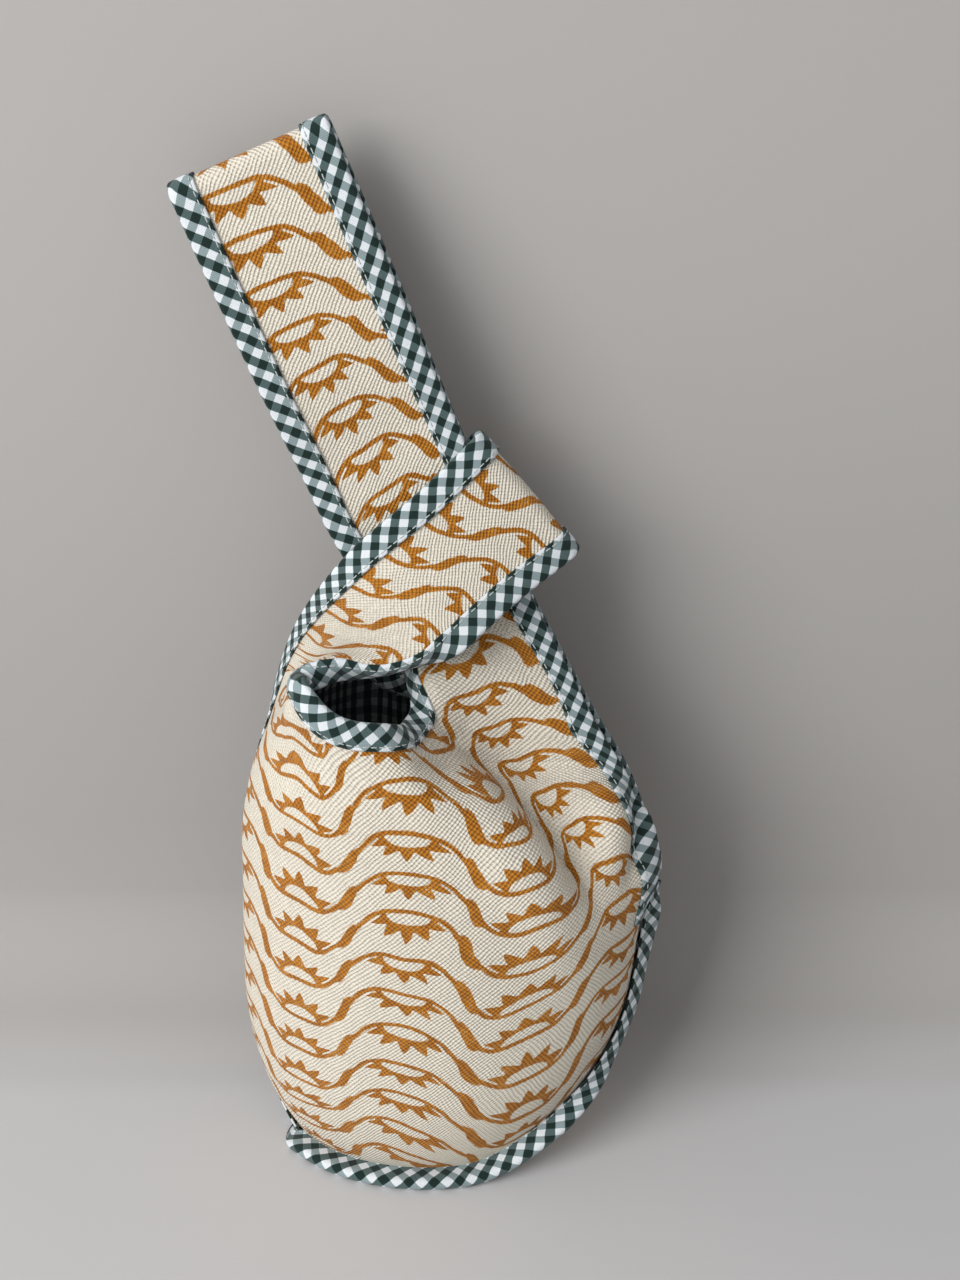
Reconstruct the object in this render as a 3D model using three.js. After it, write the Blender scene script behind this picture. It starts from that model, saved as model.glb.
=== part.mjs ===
// Japanese knot bag: a soft sack whose long strap is drawn through its short one.
// Millimetres, +Z up. +X is to the right of someone who looks at the front, and the front faces -Y.
// The origin is on the surface that the bag stands on, under the middle of its base.
import * as THREE from 'three';

// Cloth: the thickness of each layer, and the room left between two that lie on each other.
const canvasThickness = 0.8;
const liningThickness = 0.4;
const tapeThickness = 0.7;
const clothGap = 0.3;
const bindingWidth = 9;

// The cut: strap width, neck width, and how far each armhole cuts in from the side seam.
const strapWidth = 58;
const neckWidth = 56;
const armholeInset = 20;
const cornerRadius = 60;

// The filled sack: half its width and depth at the fullest, and the height of its shoulders.
const halfWidth = 80;
const halfDepth = 58;
const shoulderHeight = 200;
const seamTopHeight = 116;

// The handle: the long strap above the knot, from the line it tilts on up to its fold.
const handleLength = 118;
const handleLean = 22.5 * Math.PI / 180;
const loopHalfGap = 6.2;
const slipLength = 12;
const armholeStart = 10;
const seamRoom = 1.5;

// Cloth colours, as seen.
const canvasLook = { color: 0xe3c9a0, roughness: 0.92, metalness: 0 };
const liningLook = { color: 0x7f9a90, roughness: 0.9, metalness: 0 };
const tapeLook = { color: 0x4f6f66, roughness: 0.88, metalness: 0 };

// Offsets from the sheet that lies between canvas and lining, positive towards the outside.
const canvasIn = clothGap / 2;
const canvasOut = canvasIn + canvasThickness;
const liningOut = -clothGap / 2;
const liningIn = liningOut - liningThickness;
const tapeOuterIn = canvasOut + clothGap;
const tapeOuterOut = tapeOuterIn + tapeThickness;
const tapeInnerOut = liningIn - clothGap;
const tapeInnerIn = tapeInnerOut - tapeThickness;
const capInner = clothGap;
const capOuter = clothGap + tapeThickness;

// Half the distance between front and back sheets in the bound seam, in the pressed long strap,
// and in the short strap that goes round it.
const seamHalf = clothGap / 2 - liningIn;
const pressedHalf = clothGap / 2 - tapeInnerIn;
const bundleHalf = pressedHalf + tapeOuterOut;
const knotHalf = bundleHalf + clothGap - tapeInnerIn;
const hingeReach = bundleHalf + clothGap;

// Heights of the sheets above the surface that the bag stands on.
const floorSheet = canvasOut;
const seamSheet = clothGap / 2 + tapeOuterOut + seamHalf;

// Places in the panel across, as shares of its half width.
const panelHalf = neckWidth / 2 + strapWidth + armholeInset;
const neckShare = neckWidth / 2 / panelHalf;
const strapOuterShare = (neckWidth / 2 + strapWidth) / panelHalf;
const cornerShare = cornerRadius / panelHalf;

// Angles round the sack of the two side seams, from +X, with the front at -90 degrees.
const rightSeamAngle = -8 * Math.PI / 180;
const leftSeamAngle = -211 * Math.PI / 180;
// Towards the floor the seams swing round by this much, from this share of the height down.
const rightSeamSwing = -24 * Math.PI / 180;
const leftSeamSwing = 16 * Math.PI / 180;
const swingHeightShare = 0.5;

// The sack, level by level: height, half width, half depth, sideways shift, forward shift.
const sackShares = [
  [0.000, 0.700, 0.750, -0.070, 0.000],
  [0.050, 0.765, 0.820, -0.080, 0.000],
  [0.125, 0.855, 0.915, -0.070, 0.000],
  [0.265, 0.965, 0.990, -0.035, 0.000],
  [0.435, 1.000, 1.000, -0.005, 0.000],
  [0.580, 0.990, 0.980, 0.000, 0.000],
  [0.740, 0.970, 0.930, -0.005, 0.000],
  [0.880, 0.860, 0.820, -0.050, 0.000],
  [1.000, 0.720, 0.700, -0.090, 0.000],
];

// Straps below the knot, station by station from the shoulder up.
// Each row: centre across, centre depth, centre height, whether it lies on the stack of the knot,
// direction of the strap's width from its neck edge to its armhole edge, and its share of the width.
const shortFrontShares = [
  [-0.725, -0.138, 0.975, 0, -0.280, 0.871, -0.404, 1.072],
  [-0.550, -0.138, 1.051, 0, -0.466, 0.880, 0.095, 0.966],
  [-0.275, -0.305, 1.140, 0, -0.750, 0.540, 0.380, 0.960],
  [-0.080, -0.205, 1.212, -1, -0.722, 0.290, 0.630, 0.920],
  [0.125, -0.125, 1.280, -1, -0.679, 0.160, 0.717, 0.884],
  [0.362, 0.000, 1.365, -1, -0.669, 0.000, 0.743, 0.897],
];
const shortBackShares = [
  [-0.575, 0.655, 0.905, 0, -0.886, -0.394, -0.246, 0.677],
  [-0.412, 0.578, 1.040, 0, -0.989, -0.118, -0.094, 0.708],
  [-0.175, 0.388, 1.145, 0, -0.817, -0.225, 0.531, 0.816],
  [0.125, 0.125, 1.280, 1, -0.679, -0.160, 0.717, 0.884],
  [0.362, 0.000, 1.365, 1, -0.669, 0.000, 0.743, 0.897],
];
const longFrontShares = [
  [0.383, -0.328, 0.920, 0, 0.929, 0.326, -0.178, 1.125],
  [0.275, -0.178, 1.022, -1, 0.973, 0.227, -0.049, 1.028],
  [0.125, -0.087, 1.130, -1, 0.991, 0.117, 0.071, 0.942],
  [-0.056, -0.016, 1.268, -1, 0.975, 0.007, 0.222, 0.974],
];
const longBackShares = [
  [0.438, 0.431, 0.890, 0, 0.924, -0.376, -0.068, 0.974],
  [0.306, 0.238, 1.008, 1, 0.970, -0.238, 0.055, 0.911],
  [0.144, 0.114, 1.125, 1, 0.984, -0.137, 0.111, 0.897],
  [-0.056, 0.021, 1.268, 1, 0.975, -0.010, 0.222, 0.974],
];
const hingeShares = [-0.225, 0.000, 1.423];

// The neck edge between the two straps, from the short one to the long one.
const neckFrontShares = [
  [-0.500, -0.724, 0.990],
  [-0.312, -0.759, 0.953],
  [-0.138, -0.690, 0.945],
];
const neckBackShares = [
  [-0.230, 0.800, 0.893],
  [-0.125, 0.776, 0.880],
  [-0.015, 0.710, 0.884],
];

// Heights of the panel's rows at its middle, as shares of the shoulder height.
const middleRowShares = [0, 0.060, 0.160, 0.290, 0.435, 0.580, 0.700, 0.830];
// The same rows on the bound side: angle round the corner in quarters, then up the seam.
const cornerRowShares = [0.5, 0.667, 0.833, 1];
const seamRowShares = [0.5, 1];
const armholeRowShares = [0.32, 0.64];
// How much of the neckline's own shape each row above the seam takes.
const neckPullShares = [0.10, 0.42, 0.90, 1];
// Rows of the back panel along its way under the base and up the back.
const backRowShares = [0, 0.13, 0.27, 0.42, 0.55, 0.66, 0.76, 0.87, 0.96, 1];
// The back's way in shares of the half depth: how low it dips, how far behind it swings and how high
// that is, and the height of the point that the sack's wall is sought from.
const backWayShares = { dip: -0.7, behind: 1.32, rise: 0.15, heart: 1.5 };
// Rows between the stations of a strap, from shoulder to knot.
const shortRowShares = [0.1, 0.2, 0.32, 0.44, 0.56, 0.68, 0.8, 0.9, 1];
const longRowShares = [0.14, 0.28, 0.42, 0.56, 0.7, 0.85, 1];
// The turn of the short strap round the long one, in quarters, and the handle's loop:
// each row is how far up the handle and how open the loop is there.
const turnShares = [0.333, 0.667, 1];
const handleShares = [
  [0.00, 0.00], [0.09, 0.03], [0.20, 0.48], [0.36, 0.95], [0.60, 1.00], [0.82, 0.86], [0.94, 0.55],
];

const smooth = (a, b, t) => {
  const s = Math.min(1, Math.max(0, (t - a) / (b - a)));
  return s * s * (3 - 2 * s);
};

// A value between rows of a table, with smooth passage through each row.
function along(rows, t) {
  const n = rows.length - 1;
  const x = Math.min(Math.max(t, 0), 1) * n;
  const i = Math.min(Math.floor(x), n - 1);
  const f = x - i;
  const [a, b, c, d] = [-1, 0, 1, 2].map((k) => rows[Math.min(Math.max(i + k, 0), n)]);
  return b.map((_, k) => {
    const [p, q, r, s] = [a[k], b[k], c[k], d[k]];
    return q + f * ((r - p) / 2 + f * ((2 * p - 5 * q + 4 * r - s) / 2
      + f * (3 * q - p - 3 * r + s) / 2));
  });
}

const inSack = ([x, y, z]) => new THREE.Vector3(x * halfWidth, y * halfDepth, z * shoulderHeight);

// The sack's section at a height.
function section(z) {
  const h = z / shoulderHeight;
  let i = 0;
  while (i < sackShares.length - 2 && sackShares[i + 1][0] < h) i += 1;
  const lo = sackShares[i];
  const hi = sackShares[i + 1];
  const f = Math.max(0, Math.min(1, (h - lo[0]) / (hi[0] - lo[0])));
  const v = lo.map((a, k) => a + (hi[k] - a) * f);
  return { a: v[1] * halfWidth, b: v[2] * halfDepth, x: v[3] * halfWidth, y: v[4] * halfDepth };
}

// The angle a share q of the way from the panel's middle to its side seam, by length of cloth.
const arcSteps = 48;
function angleAt(q, s, from, to) {
  const sums = [0];
  for (let k = 1; k <= arcSteps; k += 1) {
    const t = from + (to - from) * (k - 1 / 2) / arcSteps;
    sums.push(sums[k - 1] + Math.hypot(s.a * Math.sin(t), s.b * Math.cos(t)));
  }
  const want = (q + 1) / 2 * sums[arcSteps];
  let k = 0;
  while (k < arcSteps - 1 && sums[k + 1] < want) k += 1;
  return from + (to - from) * (k + (want - sums[k]) / (sums[k + 1] - sums[k])) / arcSteps;
}

// A point of the sack's wall: q runs from the left seam at -1 to the right seam at 1.
function wall(q, z, back) {
  const s = section(z);
  const swing = 1 - smooth(0, swingHeightShare, z / shoulderHeight);
  const left = leftSeamAngle + leftSeamSwing * swing + (back ? 2 * Math.PI : 0);
  const t = angleAt(q, s, left, rightSeamAngle + rightSeamSwing * swing);
  return new THREE.Vector3(s.x + s.a * Math.cos(t), s.y + s.b * Math.sin(t), z);
}

// The level direction straight out of the sack at a point of its wall.
function outwards(p) {
  const s = section(p.z);
  return new THREE.Vector3((p.x - s.x) / s.a ** 2, (p.y - s.y) / s.b ** 2, 0).normalize();
}

// The point of the sack's wall or floor that lies the same way from its heart as a given point.
const halvings = 40;
function onSack(p) {
  const heart = new THREE.Vector3(0, 0, halfDepth * backWayShares.heart);
  const way = p.clone().sub(heart);
  let [near, far] = [0, 4];
  for (let k = 0; k < halvings; k += 1) {
    const mid = (near + far) / 2;
    const at = heart.clone().addScaledVector(way, mid);
    const s = section(at.z);
    const inside = at.z >= floorSheet && ((at.x - s.x) / s.a) ** 2 + ((at.y - s.y) / s.b) ** 2 < 1;
    if (inside) near = mid; else far = mid;
  }
  const found = heart.clone().addScaledVector(way, near);
  if (found.z < floorSheet + clothGap / 10) found.z = floorSheet;
  return found;
}

// One station of a strap: the point a distance in from its neck edge, on the knot's stack or off it.
function strapPoint(row, across, stackHalf) {
  const centre = new THREE.Vector3(row[0] * halfWidth,
    row[1] * halfDepth + row[3] * stackHalf, row[2] * shoulderHeight);
  const width = new THREE.Vector3(row[4], row[5], row[6]).normalize();
  return centre.addScaledVector(width, (across - 1 / 2) * row[7] * strapWidth);
}

// Shares across a strap, with one column the width of the binding from each edge.
function acrossAt(column, widthShare) {
  const edge = bindingWidth / (strapWidth * widthShare);
  return [0, edge, edge + (1 - 2 * edge) / 3, 1 - edge - (1 - 2 * edge) / 3, 1 - edge, 1][column];
}
const strapColumns = 6;
const neckColumns = neckFrontShares.length;
const lastColumn = 2 * strapColumns + neckColumns - 1;
const seamRow = 5;
const topRow = middleRowShares.length + 1;

// Share of the panel's half width of a column, at the top row.
function columnShare(i) {
  const width = strapOuterShare - neckShare;
  if (i < strapColumns) return -neckShare - width * acrossAt(strapColumns - 1 - i, 1);
  if (i > lastColumn - strapColumns) {
    return neckShare + width * acrossAt(i - (lastColumn + 1 - strapColumns), 1);
  }
  return neckShare * ((i - strapColumns + 1) / (neckColumns + 1) * 2 - 1);
}

// Where the sides of the panel run: share of the half width and height at each row.
function sidePlace(row, topZ) {
  if (row < cornerRowShares.length) {
    const a = cornerRowShares[row] * Math.PI / 2;
    return [1 - cornerShare + cornerShare * Math.sin(a),
      seamSheet + (cornerRadius - seamSheet) * (1 - Math.cos(a))];
  }
  if (row <= seamRow) {
    const f = seamRowShares[row - cornerRowShares.length];
    return [1, cornerRadius + (seamTopHeight - cornerRadius) * f];
  }
  const below = topZ - bindingWidth;
  const rises = armholeRowShares.map((f) => seamTopHeight + (topZ - seamTopHeight) * f);
  const z = [...rises, below, topZ][row - seamRow - 1];
  const f = (z - seamTopHeight) / (topZ - seamTopHeight);
  return [1 - (1 - strapOuterShare) * (f + f * f) / 2, z];
}

// The outline of the bottom seam: its height at a share of the half width.
function seamHeight(q) {
  const f = Math.max(0, (Math.abs(q) - (1 - cornerShare)) / cornerShare);
  return seamSheet + (cornerRadius - seamSheet) * (1 - Math.sqrt(Math.max(0, 1 - f * f)));
}

// A sheet of cloth: points, four-cornered cells and the side that faces out.
class Sheet {
  constructor(flip) {
    this.flip = flip;
    this.points = [];
    this.cells = [];
  }

  add(p) {
    this.points.push(p);
    return this.points.length - 1;
  }

  triangles(cells) {
    return cells.flatMap(([a, b, c, d]) => (this.flip ? [[a, c, b], [a, d, c]] : [[a, b, c], [a, c, d]]));
  }

  // The way out of the cloth at each point, lengthened at bends so that layers stay parallel.
  finish() {
    const faces = this.triangles(this.cells).map((t) => {
      const [a, b, c] = t.map((k) => this.points[k]);
      return { t, n: new THREE.Vector3().subVectors(b, a).cross(new THREE.Vector3().subVectors(c, a)).normalize() };
    });
    this.out = this.points.map(() => new THREE.Vector3());
    for (const { t, n } of faces) {
      t.forEach((k, m) => {
        const e1 = new THREE.Vector3().subVectors(this.points[t[(m + 1) % 3]], this.points[k]);
        const e2 = new THREE.Vector3().subVectors(this.points[t[(m + 2) % 3]], this.points[k]);
        this.out[k].addScaledVector(n, e1.angleTo(e2));
      });
    }
    this.out.forEach((v) => v.normalize());
    const least = this.points.map(() => 1);
    for (const { t, n } of faces) for (const k of t) least[k] = Math.min(least[k], this.out[k].dot(n));
    this.out.forEach((v, k) => v.multiplyScalar(1 / Math.max(least[k], 0.8)));
  }

  at(k, offset) {
    return this.points[k].clone().addScaledVector(this.out[k], offset);
  }
}

// A closed mesh that grows face by face from named corners.
class Solid {
  constructor() {
    this.keys = new Map();
    this.positions = [];
    this.faces = [];
  }

  corner(key, place) {
    if (!this.keys.has(key)) {
      this.keys.set(key, this.positions.length / 3);
      const p = place();
      this.positions.push(p.x, p.y, p.z);
    }
    return this.keys.get(key);
  }

  quad(a, b, c, d) {
    this.faces.push(a, b, c, a, c, d);
  }

  geometry() {
    const g = new THREE.BufferGeometry();
    g.setAttribute('position', new THREE.Float32BufferAttribute(this.positions, 3));
    g.setIndex(this.faces);
    g.computeVertexNormals();
    return g;
  }
}

// The edges that only one triangle uses, each in the direction in which it is used.
function rim(triangles) {
  const used = new Set(triangles.flatMap(([a, b, c]) => [`${a} ${b}`, `${b} ${c}`, `${c} ${a}`]));
  return [...used].map((e) => e.split(' ').map(Number)).filter(([a, b]) => !used.has(`${b} ${a}`));
}

// One layer of the sheet, from one offset to another.
function layer(sheet, low, high, place = (k, offset) => sheet.at(k, offset)) {
  const solid = new Solid();
  const up = (k) => solid.corner(`${k} high`, () => place(k, high));
  const down = (k) => solid.corner(`${k} low`, () => place(k, low));
  const triangles = sheet.triangles(sheet.cells);
  for (const [a, b, c] of triangles) {
    solid.faces.push(up(a), up(b), up(c), down(a), down(c), down(b));
  }
  for (const [a, b] of rim(triangles)) solid.quad(up(a), down(a), down(b), up(b));
  return solid.geometry();
}

// A binding folded over an edge: an outer and an inner leaf over the strip of cells, joined past the edge.
// place(key, leaf) gives the points of the four leaf faces, and past(key) the way out over the edge.
function fold(cells, onEdge, place, past) {
  const solid = new Solid();
  const v = (k, leaf) => solid.corner(`${k} ${leaf}`, () => {
    if (leaf < 4) return place(k, leaf);
    const [from, reach] = [[0, capOuter], [3, capOuter], [1, capInner], [2, capInner]][leaf - 4];
    return place(k, from).addScaledVector(past(k), reach);
  });
  const triangles = cells.flatMap(([a, b, c, d]) => [[a, b, c], [a, c, d]]);
  for (const [a, b, c] of triangles) {
    for (const leaf of [0, 2]) solid.faces.push(v(a, leaf), v(b, leaf), v(c, leaf));
    for (const leaf of [1, 3]) solid.faces.push(v(a, leaf), v(c, leaf), v(b, leaf));
  }
  const starts = new Set();
  const ends = new Set();
  for (const [a, b] of rim(triangles)) {
    if (onEdge(a, b)) {
      starts.add(a);
      ends.add(b);
      for (const [p, q] of [[0, 4], [4, 5], [5, 3]]) solid.quad(v(a, p), v(a, q), v(b, q), v(b, p));
      for (const [p, q] of [[1, 6], [6, 7], [7, 2]]) solid.quad(v(a, p), v(b, p), v(b, q), v(a, q));
    } else {
      for (const [p, q] of [[0, 1], [2, 3]]) solid.quad(v(a, p), v(a, q), v(b, q), v(b, p));
    }
  }
  for (const k of starts) {
    if (!ends.has(k)) for (const f of [[4, 0, 1, 6], [5, 4, 6, 7], [3, 5, 7, 2]]) solid.quad(...f.map((p) => v(k, p)));
  }
  for (const k of ends) {
    if (!starts.has(k)) for (const f of [[0, 4, 6, 1], [4, 5, 7, 6], [5, 3, 2, 7]]) solid.quad(...f.map((p) => v(k, p)));
  }
  return solid.geometry();
}

const leafOffsets = [tapeOuterOut, tapeOuterIn, tapeInnerOut, tapeInnerIn];

// Places on a strip that starts a short way along its first cell.
function tape(sheet, stripCells, edgePoints, trims = {}) {
  const edgeSet = new Set();
  for (let k = 1; k < edgePoints.length; k += 1) {
    edgeSet.add(`${edgePoints[k - 1]} ${edgePoints[k]}`);
    edgeSet.add(`${edgePoints[k]} ${edgePoints[k - 1]}`);
  }
  const wanted = sheet.triangles(stripCells)[0];
  const sign = wanted[1] === stripCells[0][1] ? 1 : -1;
  const cells = stripCells.map(([a, b, c, d]) => (sign > 0 ? [a, b, c, d] : [a, d, c, b]));
  const spot = (k, offset) => {
    const p = sheet.at(k, offset);
    const trim = trims[k];
    return trim ? p.lerp(sheet.at(trim.to, offset), trim.share) : p;
  };
  const past = (k) => {
    const i = edgePoints.indexOf(k);
    const a = sheet.points[edgePoints[Math.max(0, i - 1)]];
    const b = sheet.points[edgePoints[Math.min(edgePoints.length - 1, i + 1)]];
    const way = new THREE.Vector3().subVectors(b, a).cross(sheet.out[k]).normalize();
    const inner = stripCells.find((c) => c.includes(k)).filter((c) => !edgePoints.includes(c));
    const toStrip = new THREE.Vector3();
    for (const c of inner) toStrip.add(sheet.points[c]).sub(sheet.points[k]);
    return way.dot(toStrip) > 0 ? way.negate() : way;
  };
  return fold(cells, (a, b) => edgeSet.has(`${a} ${b}`), (k, leaf) => spot(k, leafOffsets[leaf]), past);
}

// A panel: the main grid from the bottom seam to the neckline, a flange that goes into the seam,
// and the lower parts of both straps.
function panel(back) {
  const sheet = new Sheet(back);
  const side = back ? 1 : -1;
  const shortRows = back ? shortBackShares : shortFrontShares;
  const longRows = back ? longBackShares : longFrontShares;
  const neck = (back ? neckBackShares : neckFrontShares).map(inSack);

  // The top row: short strap's foot, neck, long strap's foot.
  const top = [];
  for (let i = 0; i <= lastColumn; i += 1) {
    if (i < strapColumns) {
      const row = shortRows[0];
      top.push(strapPoint(row, acrossAt(strapColumns - 1 - i, row[7]), knotHalf));
    } else if (i > lastColumn - strapColumns) {
      const row = longRows[0];
      top.push(strapPoint(row, acrossAt(i - (lastColumn + 1 - strapColumns), row[7]), pressedHalf));
    } else top.push(neck[i - strapColumns]);
  }

  const sideTop = (i) => (i * 2 < lastColumn ? top[0] : top[lastColumn]);
  const edges = (row, i) => {
    const [q, z] = sidePlace(row, sideTop(i).z);
    return [i * 2 < lastColumn ? -q : q, z];
  };
  const place = (row, i) => {
    const rho = columnShare(i) / strapOuterShare;
    const near = edges(row, i);
    const q = Math.abs(near[0]) * rho;
    if (row === 0) return [q, seamHeight(q)];
    if (row >= topRow - 1) return [q, top[i].z - (topRow - row) * bindingWidth];
    const middle = Math.max(seamSheet, middleRowShares[row] * shoulderHeight);
    return [q, middle + (near[1] - middle) * Math.abs(rho) ** 3];
  };

  const grid = [];
  const sideAt = (row, i) => wall(...edges(row, i), back);
  if (!back) {
    const pull = top.map((p, i) => p.clone().sub(wall(...place(topRow, i), back)));
    for (let row = 0; row <= topRow; row += 1) {
      const take = row > seamRow ? neckPullShares[row - seamRow - 1] : 0;
      grid.push(top.map((_, i) => wall(...place(row, i), back).addScaledVector(pull[i], take)));
    }
  } else {
    // The back goes from the seam at the front of the base, under it and up behind.
    const low = backWayShares.dip * halfDepth;
    const behind = new THREE.Vector3(0, backWayShares.behind * halfDepth, backWayShares.rise * halfDepth);
    const bottom = top.map((_, i) => wall(...place(0, i), false));
    const raw = backRowShares.map((t, row) => top.map((end, i) => {
      const rho = columnShare(i) / strapOuterShare;
      const start = bottom[i];
      const bulge = 1 - Math.abs(rho) ** 3;
      const one = start.clone().lerp(end, 1 / 3);
      const two = start.clone().lerp(end, 2 / 3);
      one.lerp(new THREE.Vector3(start.x, start.y + (behind.y - start.y) / 3, low), bulge);
      two.lerp(new THREE.Vector3((start.x + end.x) / 2, behind.y, behind.z), bulge);
      const p = new THREE.CubicBezierCurve3(start, one, two, end).getPoint(t);
      return onSack(p);
    }));
    const sideEdge = (row, i) => sideAt(row, i).addScaledVector(
      top[i].clone().sub(wall(...place(topRow, i), back)),
      row > seamRow ? neckPullShares[row - seamRow - 1] : 0);
    // The second column lies the width of the binding in from the edge, on the sack.
    const beside = (row, i) => {
      const here = sideEdge(row, i);
      const t = sideEdge(Math.min(row + 1, topRow), i).sub(sideEdge(Math.max(row - 1, 0), i));
      const inward = outwards(here).cross(t).normalize().multiplyScalar(i ? -1 : 1);
      return onSack(here.clone().addScaledVector(inward, bindingWidth));
    };
    const fade = (t) => Math.max(0, t) ** 2;
    const fixed = raw.map((points, row) => {
      const left = [sideEdge(row, 0), row ? beside(row, 0) : bottom[1]];
      const right = [sideEdge(row, lastColumn), row ? beside(row, lastColumn) : bottom[lastColumn - 1]];
      if (row === topRow) [left[1], right[1]] = [top[1], top[lastColumn - 1]];
      const pullLeft = left[1].clone().sub(points[1]);
      const pullRight = right[1].clone().sub(points[lastColumn - 1]);
      return points.map((p, i) => {
        if (i < 2) return left[i].clone();
        if (i > lastColumn - 2) return right[lastColumn - i].clone();
        const f = (i - 1) / (lastColumn - 2);
        return p.clone().addScaledVector(pullLeft, fade(1 - f)).addScaledVector(pullRight, fade(f));
      });
    });
    fixed.forEach((points, row) => {
      const v = row / topRow;
      const take = row > seamRow ? neckPullShares[row - seamRow - 1] : 0;
      grid.push(points.map((p, i) => {
        const free = p.clone().addScaledVector(bottom[i].clone().sub(fixed[0][i]), (1 - v) ** 3)
          .addScaledVector(top[i].clone().sub(fixed[topRow][i]), v ** 3);
        return onSack(free).lerp(free, take);
      }));
    });
  }

  // The run of the seam: down the left side, round the bottom and up the right side.
  const run = [];
  for (let row = seamRow; row > 0; row -= 1) run.push([row, 0]);
  for (let i = 0; i <= lastColumn; i += 1) run.push([0, i]);
  for (let row = 1; row <= seamRow; row += 1) run.push([row, lastColumn]);
  const line = run.map(([row, i]) => (row ? wall(...edges(row, i), false) : wall(...place(0, i), false)));
  const tips = line.map((p, k) => {
    const way = outwards(p);
    const t = new THREE.Vector3().subVectors(line[Math.min(k + 1, line.length - 1)], line[Math.max(k - 1, 0)]);
    const lift = way.clone().cross(t).normalize().multiplyScalar(-side * seamHalf);
    const [row, i] = run[k];
    grid[row][i] = p.clone().add(lift);
    return grid[row][i].clone().addScaledVector(way, bindingWidth);
  });

  const ids = grid.map((row) => row.map((p) => sheet.add(p)));
  for (let row = 0; row < topRow; row += 1) {
    for (let i = 0; i < lastColumn; i += 1) {
      sheet.cells.push([ids[row][i], ids[row][i + 1], ids[row + 1][i + 1], ids[row + 1][i]]);
    }
  }
  const tipIds = tips.map((p) => sheet.add(p));
  const lineIds = run.map(([row, i]) => ids[row][i]);
  for (let k = 1; k < run.length; k += 1) {
    sheet.cells.push([lineIds[k - 1], tipIds[k - 1], tipIds[k], lineIds[k]]);
  }

  // The straps: rows of points from the panel's top row, first column at the left.
  const strap = (rows, shares, stackHalf, footIds, reversed, more) => {
    const strips = [footIds];
    const columns = footIds.map((_, c) => (reversed ? strapColumns - 1 - c : c));
    for (const t of shares) {
      const row = along(rows, t);
      strips.push(columns.map((c) => sheet.add(strapPoint(row, acrossAt(c, row[7]), stackHalf))));
    }
    for (const extra of more(columns)) strips.push(extra.map((p) => sheet.add(p)));
    for (let k = 1; k < strips.length; k += 1) {
      for (let c = 1; c < strapColumns; c += 1) {
        sheet.cells.push([strips[k - 1][c - 1], strips[k - 1][c], strips[k][c], strips[k][c - 1]]);
      }
    }
    return strips;
  };
  const last = shortRows[shortRows.length - 1];
  const width = new THREE.Vector3(last[4], last[5], last[6]).normalize();
  const onward = new THREE.Vector3(-width.z, 0, width.x).negate();
  const short = strap(shortRows, shortRowShares, knotHalf, ids[topRow].slice(0, strapColumns), true,
    (columns) => turnShares.map((t) => {
      const a = t * Math.PI / 2;
      const y = Math.max(knotHalf * Math.cos(a), clothGap / 2) * side;
      return columns.map((c) => {
        const p = strapPoint(last, acrossAt(c, last[7]), knotHalf);
        p.addScaledVector(onward, knotHalf * Math.sin(a));
        p.y = y;
        return p;
      });
    }));
  const pivot = hinge();
  const longStations = [...longRows, ...[slipLength, hingeReach].map((down) => {
    const c = pivot.place.clone().addScaledVector(pivot.up, -down);
    return [c.x / halfWidth, 0, c.z / shoulderHeight, side, pivot.axis.x, 0, pivot.axis.z, 1];
  })];
  longStations.forEach((row, k) => { if (k >= 1 && k < longRows.length) row[3] = side; });
  const long = strap(longStations, longRowShares, pressedHalf, ids[topRow].slice(lastColumn + 1 - strapColumns),
    false, () => []);

  sheet.finish();
  for (const k of short[short.length - 1]) sheet.out[k].copy(onward);
  // What rests on the floor keeps its full thickness below the sheet.
  sheet.out.forEach((v, k) => {
    if (sheet.points[k].z <= floorSheet + clothGap / 10 && v.z < -0.4) v.divideScalar(-v.z);
  });
  return { sheet, ids, short, long, lineIds, tipIds, line };
}

// The line the handle tilts on: its middle, its direction across the strap, and the way up the handle.
function hinge() {
  return {
    place: inSack(hingeShares),
    axis: new THREE.Vector3(Math.cos(handleLean), 0, Math.sin(handleLean)),
    up: new THREE.Vector3(-Math.sin(handleLean), 0, Math.cos(handleLean)),
  };
}

// One half of the handle, front or back, from the hinge to the fold at the top.
function handleHalf(back) {
  const sheet = new Sheet(back);
  const side = back ? 1 : -1;
  const { place, axis, up } = hinge();
  const fold = handleShares[handleShares.length - 1];
  const endHalf = pressedHalf + (loopHalfGap - pressedHalf) * fold[1];
  const rows = handleShares.map(([t, open]) => [t * (handleLength - endHalf), pressedHalf + (loopHalfGap - pressedHalf) * open]);
  for (const t of turnShares) {
    const a = t * Math.PI / 2;
    rows.push([handleLength - endHalf + endHalf * Math.sin(a), Math.max(endHalf * Math.cos(a), clothGap / 2)]);
  }
  const strips = rows.map(([rise, half]) => Array.from({ length: strapColumns }, (_, c) => {
    const p = place.clone().addScaledVector(up, rise).addScaledVector(axis, (acrossAt(c, 1) - 1 / 2) * strapWidth);
    p.y += side * half;
    return sheet.add(p);
  }));
  for (let k = 1; k < strips.length; k += 1) {
    for (let c = 1; c < strapColumns; c += 1) {
      sheet.cells.push([strips[k - 1][c - 1], strips[k - 1][c], strips[k][c], strips[k][c - 1]]);
    }
  }
  sheet.finish();
  for (const k of strips[strips.length - 1]) sheet.out[k].copy(up);
  // The lower end is rounded about the hinge line, so that it turns close over the strap below.
  const foot = new Set(strips[0]);
  const plain = sheet.at.bind(sheet);
  sheet.at = (k, offset) => {
    const p = plain(k, offset);
    if (foot.has(k)) p.addScaledVector(up, -Math.sqrt(Math.max(0, bundleHalf ** 2 - p.y ** 2)));
    return p;
  };
  return { sheet, strips };
}

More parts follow.
